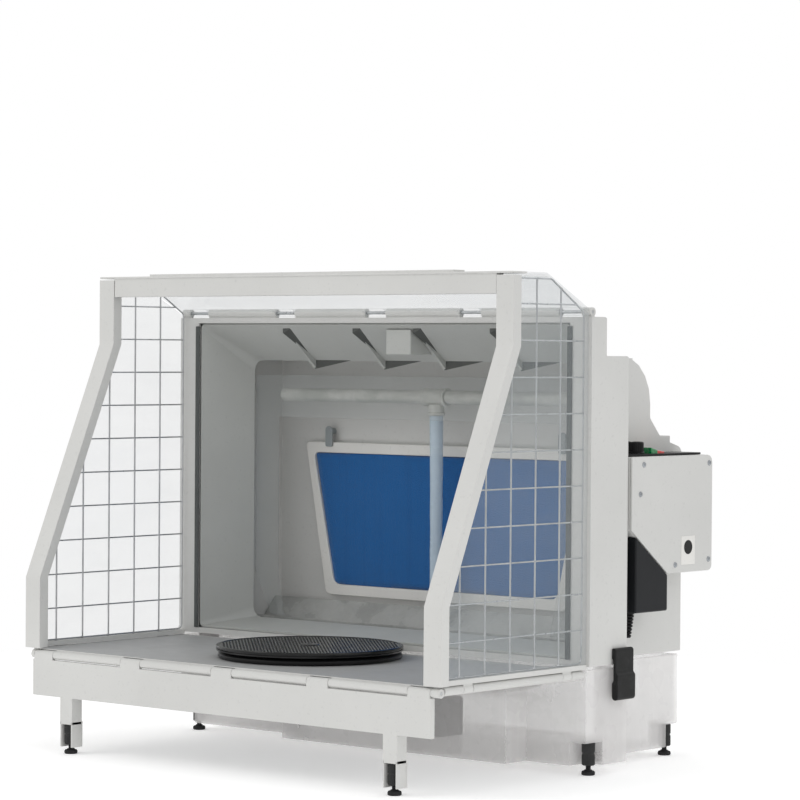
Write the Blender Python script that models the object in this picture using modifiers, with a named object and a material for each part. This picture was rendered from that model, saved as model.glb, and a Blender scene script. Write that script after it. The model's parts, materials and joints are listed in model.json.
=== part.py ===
"""A folding spray booth with a water curtain, standing on a translucent water tank.

Metres, +Z up. X runs along the open front, -Y is the open front, +Y is the exhaust side.
Heights are above the surface that the feet stand on. Depths are from the plane of the
cabinet's front rim, and one parent empty carries the whole booth to its place.
"""

import math

import bmesh
import bpy
from mathutils import Matrix, Vector

# ---- driving dimensions ----
BOOTH_WIDTH = 0.580        # over the two posts and the cabinet
FRONT_REACH = 0.234        # rim to the front of the floor
TOP_REACH = 0.127          # rim to the front of the roof
FLOOR_TOP = 0.109
POST_TOP = 0.505
POST_BEND_LOW = 0.185
POST_BEND_HIGH = 0.435
POST_WIDTH = 0.022
POST_DEPTH = 0.012
SHELL_BASE = 0.112
SHELL_TOP = 0.4655
FRAME_DEPTH = 0.031        # the tall front section of the cabinet
STEP_DEPTH = 0.069         # the lower second section
STEP_TOP = 0.426
HOOD_TOP = 0.451           # raised middle of the second section, over the funnel
HOUSING_WIDTH = 0.500
HOUSING_BACK = 0.214
HOUSING_LEDGE = 0.335      # height of the shoulder below the hump
RIM_LIP = 0.028            # width of the cabinet's front rim
WALL = 0.003
TANK_WALL = 0.0025
TANK_BASE = 0.010
TANK_TOP = 0.1085
TANK_NOSE = 0.034          # how far the middle of the tank stands out
NOSE_LEFT = -0.100
NOSE_RIGHT = 0.210
MOUTH_DEPTH = 0.0625       # back edge of the intake funnel
MOUTH_HALF_WIDTH = 0.235
MOUTH_BASE = 0.126
MOUTH_TOP = 0.4225
FLOOR_THICK = 0.0045
HINGE_RADIUS = 0.0045
HINGE_PIN = 0.0016
KNUCKLE_WIDTH = 0.028
FOLD_AXIS_DROP = 0.006     # leg hinge axis below the floor's top
LEG_SPREAD = 0.2265
LEG_WIDTH = 0.018
LEG_END = 0.0315
LEG_PANEL_DEPTH = 0.0385
WHEEL_RADIUS = 0.0068
WHEEL_BASE = 0.010
PAD_RADIUS = 0.0070
PAD_THICK = 0.0045
STUD_RADIUS = 0.0028
TURNTABLE_RADIUS = 0.098
TURNTABLE_BACK = 0.0995    # centre of the turntable in front of the rim
TURNTABLE_HEIGHT = 0.0135
WIRE = 0.0022
WIRE_PITCH_Y = 0.0390
WIRE_PITCH_Z = 0.0364
SHEET = 0.0015
FILTER_DEPTH = 0.115       # front face of the filter frame
FILTER_TOP = 0.3265
FILTER_BASE = 0.154
FILTER_TOP_HALF = 0.203
FILTER_BASE_HALF = 0.171
FILTER_BORDER = 0.012
FILTER_THICK = 0.0078
PIPE_RADIUS = 0.0075
PIPE_DEPTH = 0.088
PIPE_HEIGHT = 0.380
TEE_X = 0.013
FAN_X = -0.120
FAN_HEIGHT = 0.232
DUCT_RADIUS = 0.047
SPIGOT_LENGTH = 0.015
HOSE_RADIUS = 0.050
BOX_FRONT = 0.0705         # control box, beside the rear housing
BOX_BACK = 0.2135
BOX_BASE = 0.200
BOX_TOP = 0.3225
BOX_CUT_Y = 0.134
BOX_CUT_Z = 0.247
LATCH_FRONT = 0.037
LATCH_WIDTH = 0.031
LATCH_BASE = 0.0755
LATCH_TOP = 0.1285
LATCH_STANDS_OUT = 0.008
ROCKER_PLACE = 0.134       # depth of the rocker's axis
ROCKER_HALF = 0.0118
KNOB_PLACE = 0.104
ADAPTER_BASE = 0.1615
SEAT_HEIGHT = 0.034        # underside of the tank over its feet

TOUCH = 0.0003             # gap kept between touching pieces
RUNNING = 0.0006           # gap kept between moving pieces

# ---- values that follow from them ----
HALF = BOOTH_WIDTH / 2
HOUSING_HALF = HOUSING_WIDTH / 2
SPIGOT_END = HOUSING_BACK + TOUCH + SPIGOT_LENGTH
RIM_Y = (FRONT_REACH - SPIGOT_END) / 2
FLOOR_BASE = FLOOR_TOP - FLOOR_THICK
LEG_AXIS = (-FRONT_REACH + HINGE_RADIUS, FLOOR_TOP - FOLD_AXIS_DROP)
SIDE_AXIS = (HALF - 0.0065, FLOOR_TOP - HINGE_RADIUS - 0.0002)
ROOF_AXIS = (0.004, SHELL_TOP + HINGE_RADIUS + 0.0005)
ROOF_EDGE = POST_TOP + 0.0015
LATCH_CURVE = (LATCH_STANDS_OUT - TOUCH) / 2    # the latch's lower end is round about its pivot
LATCH_AXIS = (HALF + TOUCH + LATCH_CURVE, LATCH_BASE + LATCH_CURVE)
SWITCH_MIDDLE = (HOUSING_HALF + TOUCH + HALF - 0.003) / 2
SWITCH_TOP = BOX_TOP + TOUCH + 0.0022
ROOF_FLAT = TOP_REACH - 0.055   # where the sloping sheet meets the flat one
ROOF_START = (ROOF_AXIS[0] - HINGE_RADIUS - RUNNING - SHEET / 2, ROOF_AXIS[1] + 0.0020)
FILTER_BACK = FILTER_DEPTH + FILTER_THICK

for old in list(bpy.data.objects):
    bpy.data.objects.remove(old, do_unlink=True)

PARTS = bpy.data.collections.new("spray_booth")
CUTTERS = bpy.data.collections.new("cutters")
bpy.context.scene.collection.children.link(PARTS)
bpy.context.scene.collection.children.link(CUTTERS)
BOOTH = bpy.data.objects.new("booth_frame", None)
PARTS.objects.link(BOOTH)
BOOTH.location = (0, RIM_Y, 0)


# ---- materials ----
def material(name, color, roughness, metallic=0.0, alpha=1.0):
    made = bpy.data.materials.new(name)
    made.use_nodes = True
    shader = made.node_tree.nodes["Principled BSDF"]
    shader.inputs["Base Color"].default_value = (*color, 1)
    shader.inputs["Roughness"].default_value = roughness
    shader.inputs["Metallic"].default_value = metallic
    shader.inputs["Alpha"].default_value = alpha
    return made


SHELL_GREY = material("shell_grey", (0.67, 0.67, 0.65), 0.45)
FUNNEL_GREY = material("funnel_grey", (0.45, 0.46, 0.45), 0.5)
FLOOR_GREY = material("floor_grey", (0.52, 0.53, 0.53), 0.45)
MILKY = material("milky_tank", (0.78, 0.76, 0.75), 0.35, alpha=0.6)
CLEAR = material("clear_sheet", (0.9, 0.92, 0.92), 0.08, alpha=0.2)
STEEL = material("steel_wire", (0.6, 0.6, 0.6), 0.3, metallic=1.0)
PAD_BLUE = material("filter_blue", (0.006, 0.107, 0.319), 0.9)
FRAME_WHITE = material("frame_white", (0.8, 0.8, 0.76), 0.45)
BLACK = material("black_plastic", (0.01, 0.01, 0.011), 0.4)
RUBBER = material("rubber_black", (0.02, 0.02, 0.02), 0.8)
GLOSS_BLACK = material("turntable_black", (0.006, 0.006, 0.007), 0.15)
HOSE_GREY = material("hose_grey", (0.58, 0.58, 0.58), 0.45)
HOSE_BLUE = material("feed_hose_blue", (0.4, 0.6, 0.72), 0.25, alpha=0.6)
ROCKER_GREEN = material("rocker_green", (0.0, 0.3, 0.06), 0.35)


# ---- modelling helpers ----
def add(name, mesh, finish=None, smooth=True):
    """A part when it has a finish, otherwise a hidden cutter."""
    made = bpy.data.objects.new(name, mesh)
    made.parent = BOOTH
    if finish is None:
        CUTTERS.objects.link(made)
        made.hide_render = True
        made.display_type = "WIRE"
        return made
    PARTS.objects.link(made)
    made.data.materials.append(finish)
    if smooth:
        mesh.shade_smooth()
        mesh.set_sharp_from_angle(angle=math.radians(35))
    return made


def mesh_from(bm, name):
    bmesh.ops.recalc_face_normals(bm, faces=bm.faces)
    mesh = bpy.data.meshes.new(name)
    bm.to_mesh(mesh)
    bm.free()
    return mesh


def box(name, x, y, z, finish=None, round_edges=0.0, pick=None):
    """A block from its three ranges; pick(middle of edge) chooses the edges to round."""
    bm = bmesh.new()
    bmesh.ops.create_cube(bm, size=1)
    size = Vector((x[1] - x[0], y[1] - y[0], z[1] - z[0]))
    middle = Vector((x[0] + x[1], y[0] + y[1], z[0] + z[1])) / 2
    for vert in bm.verts:
        vert.co = Vector(a * b for a, b in zip(vert.co, size)) + middle
    if round_edges:
        edges = [
            edge
            for edge in bm.edges
            if pick is None or pick((edge.verts[0].co + edge.verts[1].co) / 2 - middle)
        ]
        bmesh.ops.bevel(bm, geom=edges, offset=round_edges, segments=3, profile=0.5, affect="EDGES")
    return add(name, mesh_from(bm, name), finish)


def rod(name, start, end, radius, finish=None, end_radius=None, sides=20):
    """A cylinder or cone between two points."""
    start, end = Vector(start), Vector(end)
    along = end - start
    bm = bmesh.new()
    turn = along.to_track_quat("Z", "Y").to_matrix().to_4x4()
    bmesh.ops.create_cone(
        bm,
        cap_ends=True,
        segments=sides,
        radius1=radius,
        radius2=radius if end_radius is None else end_radius,
        depth=along.length,
        matrix=Matrix.Translation((start + end) / 2) @ turn,
    )
    return add(name, mesh_from(bm, name), finish)


def rounded(corners, steps=3):
    """An outline from (u, v, radius) corners, each rounded by an arc of its radius."""
    points = []
    count = len(corners)
    for index, (u, v, radius) in enumerate(corners):
        here = Vector((u, v))
        if radius == 0:
            points.append(here)
            continue
        before = (Vector(corners[index - 1][:2]) - here).normalized()
        after = (Vector(corners[(index + 1) % count][:2]) - here).normalized()
        half_angle = before.angle(after) / 2
        reach = radius / math.tan(half_angle)
        centre = here + (before + after).normalized() * radius / math.sin(half_angle)
        first = here + before * reach - centre
        last = here + after * reach - centre
        sweep = first.angle_signed(last)
        for step in range(steps + 1):
            turn = Matrix.Rotation(-sweep * step / steps, 2)
            points.append(centre + turn @ first)
    return points


PLANES = {
    "YZ": Matrix(((0, 0, 1, 0), (1, 0, 0, 0), (0, 1, 0, 0), (0, 0, 0, 1))),
    "XZ": Matrix(((1, 0, 0, 0), (0, 0, -1, 0), (0, 1, 0, 0), (0, 0, 0, 1))),
    "XY": Matrix.Identity(4),
}


def slab(name, outlines, plane, start, end, finish=None):
    """A flat outline, with any holes after it, given thickness across its plane."""
    curve = bpy.data.curves.new(name, "CURVE")
    curve.dimensions = "2D"
    curve.fill_mode = "BOTH"
    curve.extrude = abs(end - start) / 2
    for outline in outlines:
        spline = curve.splines.new("POLY")
        spline.points.add(len(outline) - 1)
        for point, place in zip(spline.points, outline):
            point.co = (place[0], place[1], 0, 1)
        spline.use_cyclic_u = True
    holder = bpy.data.objects.new(name + "_curve", curve)
    CUTTERS.objects.link(holder)
    bpy.context.view_layer.update()
    graph = bpy.context.evaluated_depsgraph_get()
    mesh = bpy.data.meshes.new_from_object(holder.evaluated_get(graph))
    bpy.data.objects.remove(holder, do_unlink=True)
    middle = (start + end) / 2
    across = {"YZ": (middle, 0, 0), "XZ": (0, middle, 0), "XY": (0, 0, middle)}[plane]
    bm = bmesh.new()
    bm.from_mesh(mesh)
    bmesh.ops.remove_doubles(bm, verts=bm.verts, dist=1e-6)
    bm.transform(Matrix.Translation(across) @ PLANES[plane])
    bm.normal_update()
    mesh.materials.clear()
    return add(name, mesh_from(bm, name), finish)


def bend(name, profile, x, thick, finish):
    """A sheet folded along X: an open (y, z) profile swept along X and given thickness."""
    bm = bmesh.new()
    ends = [[bm.verts.new((side, y, z)) for y, z in profile] for side in x]
    for index in range(len(profile) - 1):
        bm.faces.new((ends[0][index], ends[1][index], ends[1][index + 1], ends[0][index + 1]))
    mesh = bpy.data.meshes.new(name)
    bm.to_mesh(mesh)
    bm.free()
    made = add(name, mesh, finish, smooth=False)
    solid = made.modifiers.new("thickness", "SOLIDIFY")
    solid.thickness = thick
    solid.offset = 0
    return made


def turned(name, profile, centre, direction, finish, sides=28):
    """A (radius, height) profile turned about a line: a closed ring, or open with both ends on the line."""
    bm = bmesh.new()
    verts = [bm.verts.new((radius, 0, height)) for radius, height in profile]
    on_line = profile[0][0] == 0
    for index in range(len(verts) - on_line):
        bm.edges.new((verts[index], verts[(index + 1) % len(verts)]))
    mesh = bpy.data.meshes.new(name)
    bm.to_mesh(mesh)
    bm.free()
    made = add(name, mesh, finish, smooth=False)
    made.location = centre
    made.rotation_mode = "QUATERNION"
    made.rotation_quaternion = Vector(direction).to_track_quat("Z", "Y")
    screw = made.modifiers.new("turn", "SCREW")
    screw.steps = sides
    screw.render_steps = sides
    screw.use_merge_vertices = True
    screw.merge_threshold = 1e-5
    screw.use_normal_flip = False
    return made


def tube(name, points, radius, finish, sides_level=3):
    """A round tube along a smooth curve through the points."""
    curve = bpy.data.curves.new(name, "CURVE")
    curve.dimensions = "3D"
    curve.bevel_depth = radius
    curve.bevel_resolution = sides_level
    curve.use_fill_caps = True
    spline = curve.splines.new("POLY")
    spline.points.add(len(points) - 1)
    for point, place in zip(spline.points, points):
        point.co = (*place, 1)
    made = bpy.data.objects.new(name, curve)
    made.parent = BOOTH
    PARTS.objects.link(made)
    curve.materials.append(finish)
    return made


def through(points, samples):
    """Points on the smooth curve that passes through the given ones, evenly along it."""
    path = [Vector(p) for p in points]
    path = [2 * path[0] - path[1]] + path + [2 * path[-1] - path[-2]]
    fine = []
    for a, b, c, d in zip(path, path[1:], path[2:], path[3:]):
        for step in range(20):
            t = step / 20
            fine.append(
                0.5 * (2 * b + (c - a) * t + (2 * a - 5 * b + 4 * c - d) * t**2
                       + (3 * b - 3 * c + d - a) * t**3)
            )
    fine.append(path[-2])
    reach = [0.0]
    for a, b in zip(fine, fine[1:]):
        reach.append(reach[-1] + (b - a).length)
    even = []
    place = 0
    for index in range(samples):
        want = reach[-1] * index / (samples - 1)
        while place < len(reach) - 2 and reach[place + 1] < want:
            place += 1
        share = (want - reach[place]) / (reach[place + 1] - reach[place])
        even.append(fine[place].lerp(fine[place + 1], min(share, 1)))
    return even


def boolean(target, operation, tools):
    for tool in tools:
        step = target.modifiers.new(operation.lower(), "BOOLEAN")
        step.operation = operation
        step.solver = "EXACT"
        step.object = tool


def cut(target, *tools):
    boolean(target, "DIFFERENCE", tools)


def join(target, *tools):
    boolean(target, "UNION", tools)


def pivot(part, point):
    """Puts a part's origin on its joint's axis."""
    part.data.transform(Matrix.Translation(-Vector(point)))
    part.location = point


def both_sides(make):
    for side, word in ((-1, "left"), (1, "right")):
        make(side, word)


def span(side, inner, outer):
    """A range in X on the left or right side."""
    return (inner, outer) if side > 0 else (-outer, -inner)


# ---- hinges: a split tube round a pin ----
def along(axis, place, centre):
    """A point on a hinge line that runs along X or Y, centre being its other two coordinates."""
    if axis == "X":
        return (place, centre[0], centre[1])
    return (centre[0], place, centre[1])


def hinge_tube(name, axis, centre, start, end, radius=HINGE_RADIUS):
    return rod(name, along(axis, start, centre), along(axis, end, centre), radius, sides=16)


def hinge_cuts(name, axis, centre, spans, bore_range):
    """Cutters that clear room for the other leaf's knuckles, and the pin's bore."""
    reach = HINGE_RADIUS + RUNNING
    tools = []
    for index, (low, high) in enumerate(spans):
        level, height = [(value - reach, value + reach) for value in centre]
        ranges = ((low, high), level, height) if axis == "X" else (level, (low, high), height)
        tools.append(box(f"{name}_notch_{index}", *ranges))
    tools.append(bore(name, axis, centre, bore_range))
    return tools


def bore(name, axis, centre, bore_range):
    return rod(
        f"{name}_bore",
        along(axis, bore_range[0], centre),
        along(axis, bore_range[1], centre),
        HINGE_PIN + RUNNING / 2,
        sides=12,
    )


def widened(spans, gap):
    return [(low - gap, high + gap) for low, high in spans]


KNUCKLE_PITCH = 0.131
KNUCKLES_X = [(middle * KNUCKLE_PITCH - KNUCKLE_WIDTH / 2, middle * KNUCKLE_PITCH + KNUCKLE_WIDTH / 2)
              for middle in range(-2, 3)]
SIDE_KNUCKLE = 0.014
KNUCKLES_Y = [(-0.196, -0.196 + SIDE_KNUCKLE), (-0.040, -0.040 + SIDE_KNUCKLE)]
LEG_PIN_RANGE = (-HALF + 0.009, HALF - 0.003)
ROOF_PIN_RANGE = (-HALF + 0.002, HALF - 0.002)
SIDE_PIN_RANGE = (-FRONT_REACH + 2 * HINGE_RADIUS + RUNNING, -0.006)


# ---- cabinet ----
def make_shell():
    """Front frame and stepped second section, one hollow moulding open at front and back."""
    upper_back = lambda m: m.y > 0 and m.z > -0.1 and (abs(m.x) > 0.1 or m.z > 0.1)
    shell = box("cabinet_shell", (-HALF, HALF), (0, FRAME_DEPTH), (SHELL_BASE, SHELL_TOP),
                SHELL_GREY, 0.009, upper_back)
    step = box("shell_step", (-HALF, HALF), (FRAME_DEPTH - 0.012, STEP_DEPTH), (SHELL_BASE, STEP_TOP),
               None, 0.009, upper_back)
    inner = HALF - WALL
    hollow = box("shell_hollow", (-inner, inner), (WALL, FRAME_DEPTH - WALL),
                 (SHELL_BASE + WALL, SHELL_TOP - WALL))
    step_hollow = box("step_hollow", (-inner, inner), (FRAME_DEPTH - 2 * WALL, STEP_DEPTH - WALL),
                      (SHELL_BASE + WALL, STEP_TOP - WALL))
    hood_half = HALF - RIM_LIP - 0.0075
    hood = box("shell_hood", (-hood_half, hood_half), (FRAME_DEPTH - 0.012, STEP_DEPTH - 0.004),
               (STEP_TOP - 0.020, HOOD_TOP))
    hood_hollow = box("hood_hollow", (-hood_half + WALL, hood_half - WALL),
                      (FRAME_DEPTH - 2 * WALL, STEP_DEPTH - 0.004 - WALL),
                      (STEP_TOP - 0.020, HOOD_TOP - WALL))
    mouth = HALF - RIM_LIP
    front = box("rim_opening", (-mouth, mouth), (-0.01, 2 * WALL),
                (SHELL_BASE + 2 * WALL, SHELL_TOP - 2 * WALL))
    back = box("back_opening", (-HOUSING_HALF + WALL, HOUSING_HALF - WALL),
               (STEP_DEPTH - 2 * WALL, STEP_DEPTH + 0.01), (SHELL_BASE + WALL, STEP_TOP - WALL))
    tube_rail = hinge_tube("roof_rail", "X", ROOF_AXIS, *ROOF_PIN_RANGE)
    rail_foot = box("roof_rail_foot", ROOF_PIN_RANGE, (0.0015, 0.0065),
                    (SHELL_TOP - 0.001, ROOF_AXIS[1] - 0.002))
    join(shell, step, hood, tube_rail, rail_foot)
    cut(shell, hollow, step_hollow, hood_hollow, front, back)
    cut(shell, *hinge_cuts("roof_rail", "X", ROOF_AXIS, widened(KNUCKLES_X, RUNNING),
                           (-HALF - 0.01, HALF + 0.01)))


def housing_outline(inset, open_front):
    """Side view of the rear housing, with a shoulder and a rounded hump, drawn inset by a wall."""
    front = STEP_DEPTH + TOUCH if not open_front else STEP_DEPTH - 0.02
    base = SHELL_BASE + inset
    back = HOUSING_BACK - inset
    ledge = HOUSING_LEDGE - inset
    top = STEP_TOP - inset
    hump_back = 0.156 - inset
    return rounded([
        (front, base, 0),
        (back, base, 0),
        (back, ledge - 0.006, 0.010),
        (back - 0.022, ledge, 0),
        (back - 0.022, ledge + 0.007, 0),
        (hump_back + 0.018, ledge + 0.007, 0),
        (hump_back, ledge + 0.026, 0.006),
        (hump_back, top, 0.050),
        (front, top, 0),
    ], steps=5)


def trapezoid(grow, radius=0.0):
    """The filter's outline, wider at the top, grown or shrunk all round."""
    top, base = FILTER_TOP + grow, FILTER_BASE - grow
    wide, narrow = FILTER_TOP_HALF + grow, FILTER_BASE_HALF + grow
    return rounded([(-narrow, base, radius), (narrow, base, radius),
                    (wide, top, radius / 2), (-wide, top, radius / 2)])


def make_housing():
    """Rear housing: wet chamber in front of a dividing wall, blower chamber behind it."""
    housing = slab("rear_housing", [housing_outline(0, False)], "YZ", -HOUSING_HALF, HOUSING_HALF, SHELL_GREY)
    inner = HOUSING_HALF - WALL
    hollow = slab("housing_hollow", [housing_outline(WALL, True)], "YZ", -inner, inner)
    wall_front = FILTER_BACK + TOUCH
    divider = box("filter_wall", (-HOUSING_HALF + WALL / 2, HOUSING_HALF - WALL / 2),
                  (wall_front, wall_front + WALL), (SHELL_BASE + WALL / 2, STEP_TOP - WALL * 0.7))
    window = slab("filter_window", [trapezoid(-FILTER_BORDER - 0.006, 0.006)], "XZ",
                  wall_front - 0.01, wall_front + 0.02)
    drain = box("drain_slot", (-0.200, 0.200), (STEP_DEPTH + 0.005, wall_front - 0.008),
                (SHELL_BASE - 0.01, SHELL_BASE + 2 * WALL))
    outlet = rod("housing_outlet", (FAN_X, HOUSING_BACK - 0.02, FAN_HEIGHT),
                 (FAN_X, HOUSING_BACK + 0.02, FAN_HEIGHT), DUCT_RADIUS, sides=32)
    cut(housing, hollow)
    join(housing, divider)
    cut(housing, window, drain, outlet)


RIB_PLACES = (-0.1405, -0.0385, 0.0470, 0.1515)


def make_funnel():
    """Intake funnel that narrows from the rim to the mouth, with fins under its top."""
    front_y, back_y = 0.0034, MOUTH_DEPTH
    edge = RIM_LIP + TOUCH
    thick = 0.0022
    base, top = SHELL_BASE + 2 * WALL + TOUCH, SHELL_TOP - 2 * WALL - TOUCH
    front = rounded([
        (-HALF + edge, base, 0.006), (HALF - edge, base, 0.006),
        (HALF - edge, top, 0.006), (-HALF + edge, top, 0.006)])
    back = rounded([
        (-MOUTH_HALF_WIDTH, MOUTH_BASE, 0.014), (MOUTH_HALF_WIDTH, MOUTH_BASE, 0.014),
        (MOUTH_HALF_WIDTH, MOUTH_TOP - thick, 0.014), (-MOUTH_HALF_WIDTH, MOUTH_TOP - thick, 0.014)])
    bm = bmesh.new()
    rings = [[bm.verts.new((p[0], y, p[1])) for p in ring] for ring, y in ((front, front_y), (back, back_y))]
    count = len(front)
    for index in range(count):
        after = (index + 1) % count
        bm.faces.new((rings[0][index], rings[0][after], rings[1][after], rings[1][index]))
    bmesh.ops.recalc_face_normals(bm, faces=bm.faces)
    mesh = bpy.data.meshes.new("intake_funnel")
    bm.to_mesh(mesh)
    bm.free()
    funnel = add("intake_funnel", mesh, FUNNEL_GREY, smooth=False)
    solid = funnel.modifiers.new("thickness", "SOLIDIFY")
    solid.thickness = thick
    solid.offset = -1
    slope = (MOUTH_TOP - thick - top) / (back_y - front_y)
    rise = thick * 0.6
    fins = []
    for index, place in enumerate(RIB_PLACES):
        start, end = front_y + 0.004, back_y - 0.0008
        fins.append(slab(f"fin_{index}", [[
            (start, top + slope * (start - front_y) - rise),
            (end, MOUTH_TOP - 0.013),
            (end, MOUTH_TOP - thick - rise),
        ]], "YZ", place - 0.002, place + 0.002))
    join(funnel, *fins)


def make_wet_side():
    """Gutter, splash guard, spray pipe and its feed, in front of the filter."""
    tray_half = HOUSING_HALF - WALL - TOUCH - 0.001
    tray = bend("gutter_tray",
                [(0.0705, 0.1300), (0.0705, 0.1180), (0.0850, 0.1180), (FILTER_DEPTH - 0.003, 0.1480)],
                (-tray_half, tray_half), 0.0018, FUNNEL_GREY)
    hose_hole = rod("feed_hole", (TEE_X, PIPE_DEPTH, 0.100), (TEE_X, PIPE_DEPTH, 0.150), 0.010)
    drain = box("tray_drain", (-0.180, -0.060), (0.0735, 0.0825), (0.110, 0.125))
    cut(tray, hose_hole, drain)
    out_x, in_x = 0.233, 0.199
    guard_top, band = 0.402, 0.355
    foot = MOUTH_BASE + 0.006
    slab("splash_guard", [[
        (-out_x, 0.180), (-out_x + 0.024, foot), (-in_x + 0.010, foot), (-in_x, 0.180), (-in_x, band),
        (in_x, band), (in_x, 0.180), (in_x - 0.010, foot), (out_x - 0.024, foot), (out_x, 0.180),
        (out_x, guard_top), (-out_x, guard_top)]],
        "XZ", MOUTH_DEPTH + 0.002, MOUTH_DEPTH + 0.002 + SHEET, CLEAR)
    pipe_end = HOUSING_HALF - WALL - TOUCH
    rod("spray_pipe", (-0.212, PIPE_DEPTH, PIPE_HEIGHT), (pipe_end, PIPE_DEPTH, PIPE_HEIGHT),
        PIPE_RADIUS, FRAME_WHITE, sides=20)
    tee = rod("pipe_tee", (TEE_X - 0.016, PIPE_DEPTH, PIPE_HEIGHT),
              (TEE_X + 0.016, PIPE_DEPTH, PIPE_HEIGHT), PIPE_RADIUS + 0.0025, FRAME_WHITE, sides=20)
    leg = rod("tee_leg", (TEE_X, PIPE_DEPTH, PIPE_HEIGHT - PIPE_RADIUS - 0.0010),
              (TEE_X, PIPE_DEPTH, PIPE_HEIGHT - 0.020), PIPE_RADIUS + 0.001, sides=18)
    pipe_bore = rod("tee_bore", (TEE_X - 0.03, PIPE_DEPTH, PIPE_HEIGHT),
                    (TEE_X + 0.03, PIPE_DEPTH, PIPE_HEIGHT), PIPE_RADIUS + TOUCH, sides=20)
    join(tee, leg)
    cut(tee, pipe_bore)
    rod("feed_hose", (TEE_X, PIPE_DEPTH, 0.0665), (TEE_X, PIPE_DEPTH, PIPE_HEIGHT - 0.020 - TOUCH),
        0.0055, HOSE_BLUE, end_radius=PIPE_RADIUS, sides=16)
    pump = box("water_pump", (TEE_X - 0.024, TEE_X + 0.024), (PIPE_DEPTH - 0.018, PIPE_DEPTH + 0.022),
               (TANK_BASE + TANK_WALL + TOUCH, 0.055), BLACK, 0.003)
    join(pump, rod("pump_spout", (TEE_X, PIPE_DEPTH, 0.050), (TEE_X, PIPE_DEPTH, 0.0665 - TOUCH),
                   0.0055, sides=16))


def make_filter():
    slab("filter_frame", [trapezoid(0, 0.008), trapezoid(-FILTER_BORDER, 0.010)], "XZ",
         FILTER_DEPTH, FILTER_BACK, FRAME_WHITE)
    slab("filter_pad", [trapezoid(-FILTER_BORDER - TOUCH, 0.010)], "XZ",
         FILTER_DEPTH + 0.0015, FILTER_BACK, PAD_BLUE)

    def clip(side, word):
        centre = (side * 0.166, FILTER_DEPTH - 0.0016, FILTER_TOP + 0.0125)
        lever = slab(f"filter_clip_{word}", [rounded([
            (centre[0] - 0.005, FILTER_TOP - 0.005, 0.002), (centre[0] + 0.005, FILTER_TOP - 0.005, 0.002),
            (centre[0] + 0.005, FILTER_TOP + 0.018, 0.004), (centre[0] - 0.005, FILTER_TOP + 0.018, 0.004)])],
            "XZ", FILTER_DEPTH - 0.0026, FILTER_DEPTH - RUNNING, FUNNEL_GREY)
        join(lever, rod(f"clip_stem_{word}", (centre[0], FILTER_DEPTH - 0.0010, centre[2]),
                        (centre[0], FILTER_BACK, centre[2]), 0.0032, sides=14))
        pivot(lever, centre)
        for step in lever.modifiers:
            pivot(step.object, centre)

    both_sides(clip)


def make_blower():
    """A ducted fan on the outlet's line: drum, motor and impeller."""
    front, back = 0.1300, HOUSING_BACK - WALL - TOUCH
    depth = back - front
    drum = turned("blower_housing", [(0.060, depth), (0.060, 0.0), (0.046, 0.0), (0.046, 0.003),
                                     (0.0565, 0.003), (0.0565, depth)],
                  (FAN_X, front, FAN_HEIGHT), (0, 1, 0), BLACK, sides=32)
    plate = 0.004
    plate_y = back - 0.014
    arms = [rod("motor_plate", (FAN_X, plate_y, FAN_HEIGHT), (FAN_X, plate_y + plate, FAN_HEIGHT),
                0.0215, sides=20)]
    for index in range(3):
        arm = box(f"motor_arm_{index}", (0.015, 0.058), (plate_y, plate_y + plate), (-0.003, 0.003))
        arm.data.transform(Matrix.Translation((FAN_X, 0, FAN_HEIGHT))
                           @ Matrix.Rotation(math.radians(120 * index + 90), 4, "Y"))
        arms.append(arm)
    join(drum, *arms)
    rod("fan_motor", (FAN_X, 0.160, FAN_HEIGHT), (FAN_X, plate_y - TOUCH, FAN_HEIGHT), 0.020,
        FUNNEL_GREY, sides=24)
    hub_front, hub_back = 0.1360, 0.1575
    fan = rod("fan_impeller", (FAN_X, hub_front, FAN_HEIGHT), (FAN_X, hub_back, FAN_HEIGHT), 0.017,
              BLACK, sides=21)
    centre = (FAN_X, (hub_front + hub_back) / 2, FAN_HEIGHT)
    blades = []
    for index in range(7):
        blade = box(f"fan_blade_{index}", (0.014, 0.053), (-0.008, 0.008), (-0.0009, 0.0009))
        pitch = Matrix.Rotation(math.radians(32), 4, "X")
        around = Matrix.Rotation(math.radians(360 / 7 * index), 4, "Y")
        blade.data.transform(Matrix.Translation(centre) @ around @ pitch)
        blades.append(blade)
    join(fan, *blades)
    pivot(fan, centre)
    for blade in blades:
        pivot(blade, centre)
    length = SPIGOT_LENGTH
    turned("outlet_spigot", [(DUCT_RADIUS + 0.0030, length), (DUCT_RADIUS + 0.0030, 0.003),
                             (0.061, 0.003), (0.061, 0.0), (DUCT_RADIUS, 0.0), (DUCT_RADIUS, length)],
           (FAN_X, HOUSING_BACK + TOUCH, FAN_HEIGHT), (0, 1, 0), SHELL_GREY, sides=32)


# ---- tank and feet ----
FEET = {
    "leg_left": (-LEG_SPREAD, -FRONT_REACH + 0.0075, LEG_END),
    "leg_right": (LEG_SPREAD, -FRONT_REACH + 0.0075, LEG_END),
    "front_left": (-HALF + 0.0145, 0.0185, SEAT_HEIGHT),
    "front_right": (HALF - 0.0145, 0.0185, SEAT_HEIGHT),
    "back_left": (-HOUSING_HALF + 0.0115, HOUSING_BACK - 0.012, SEAT_HEIGHT),
    "back_right": (HOUSING_HALF - 0.0115, HOUSING_BACK - 0.012, SEAT_HEIGHT),
}


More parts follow.
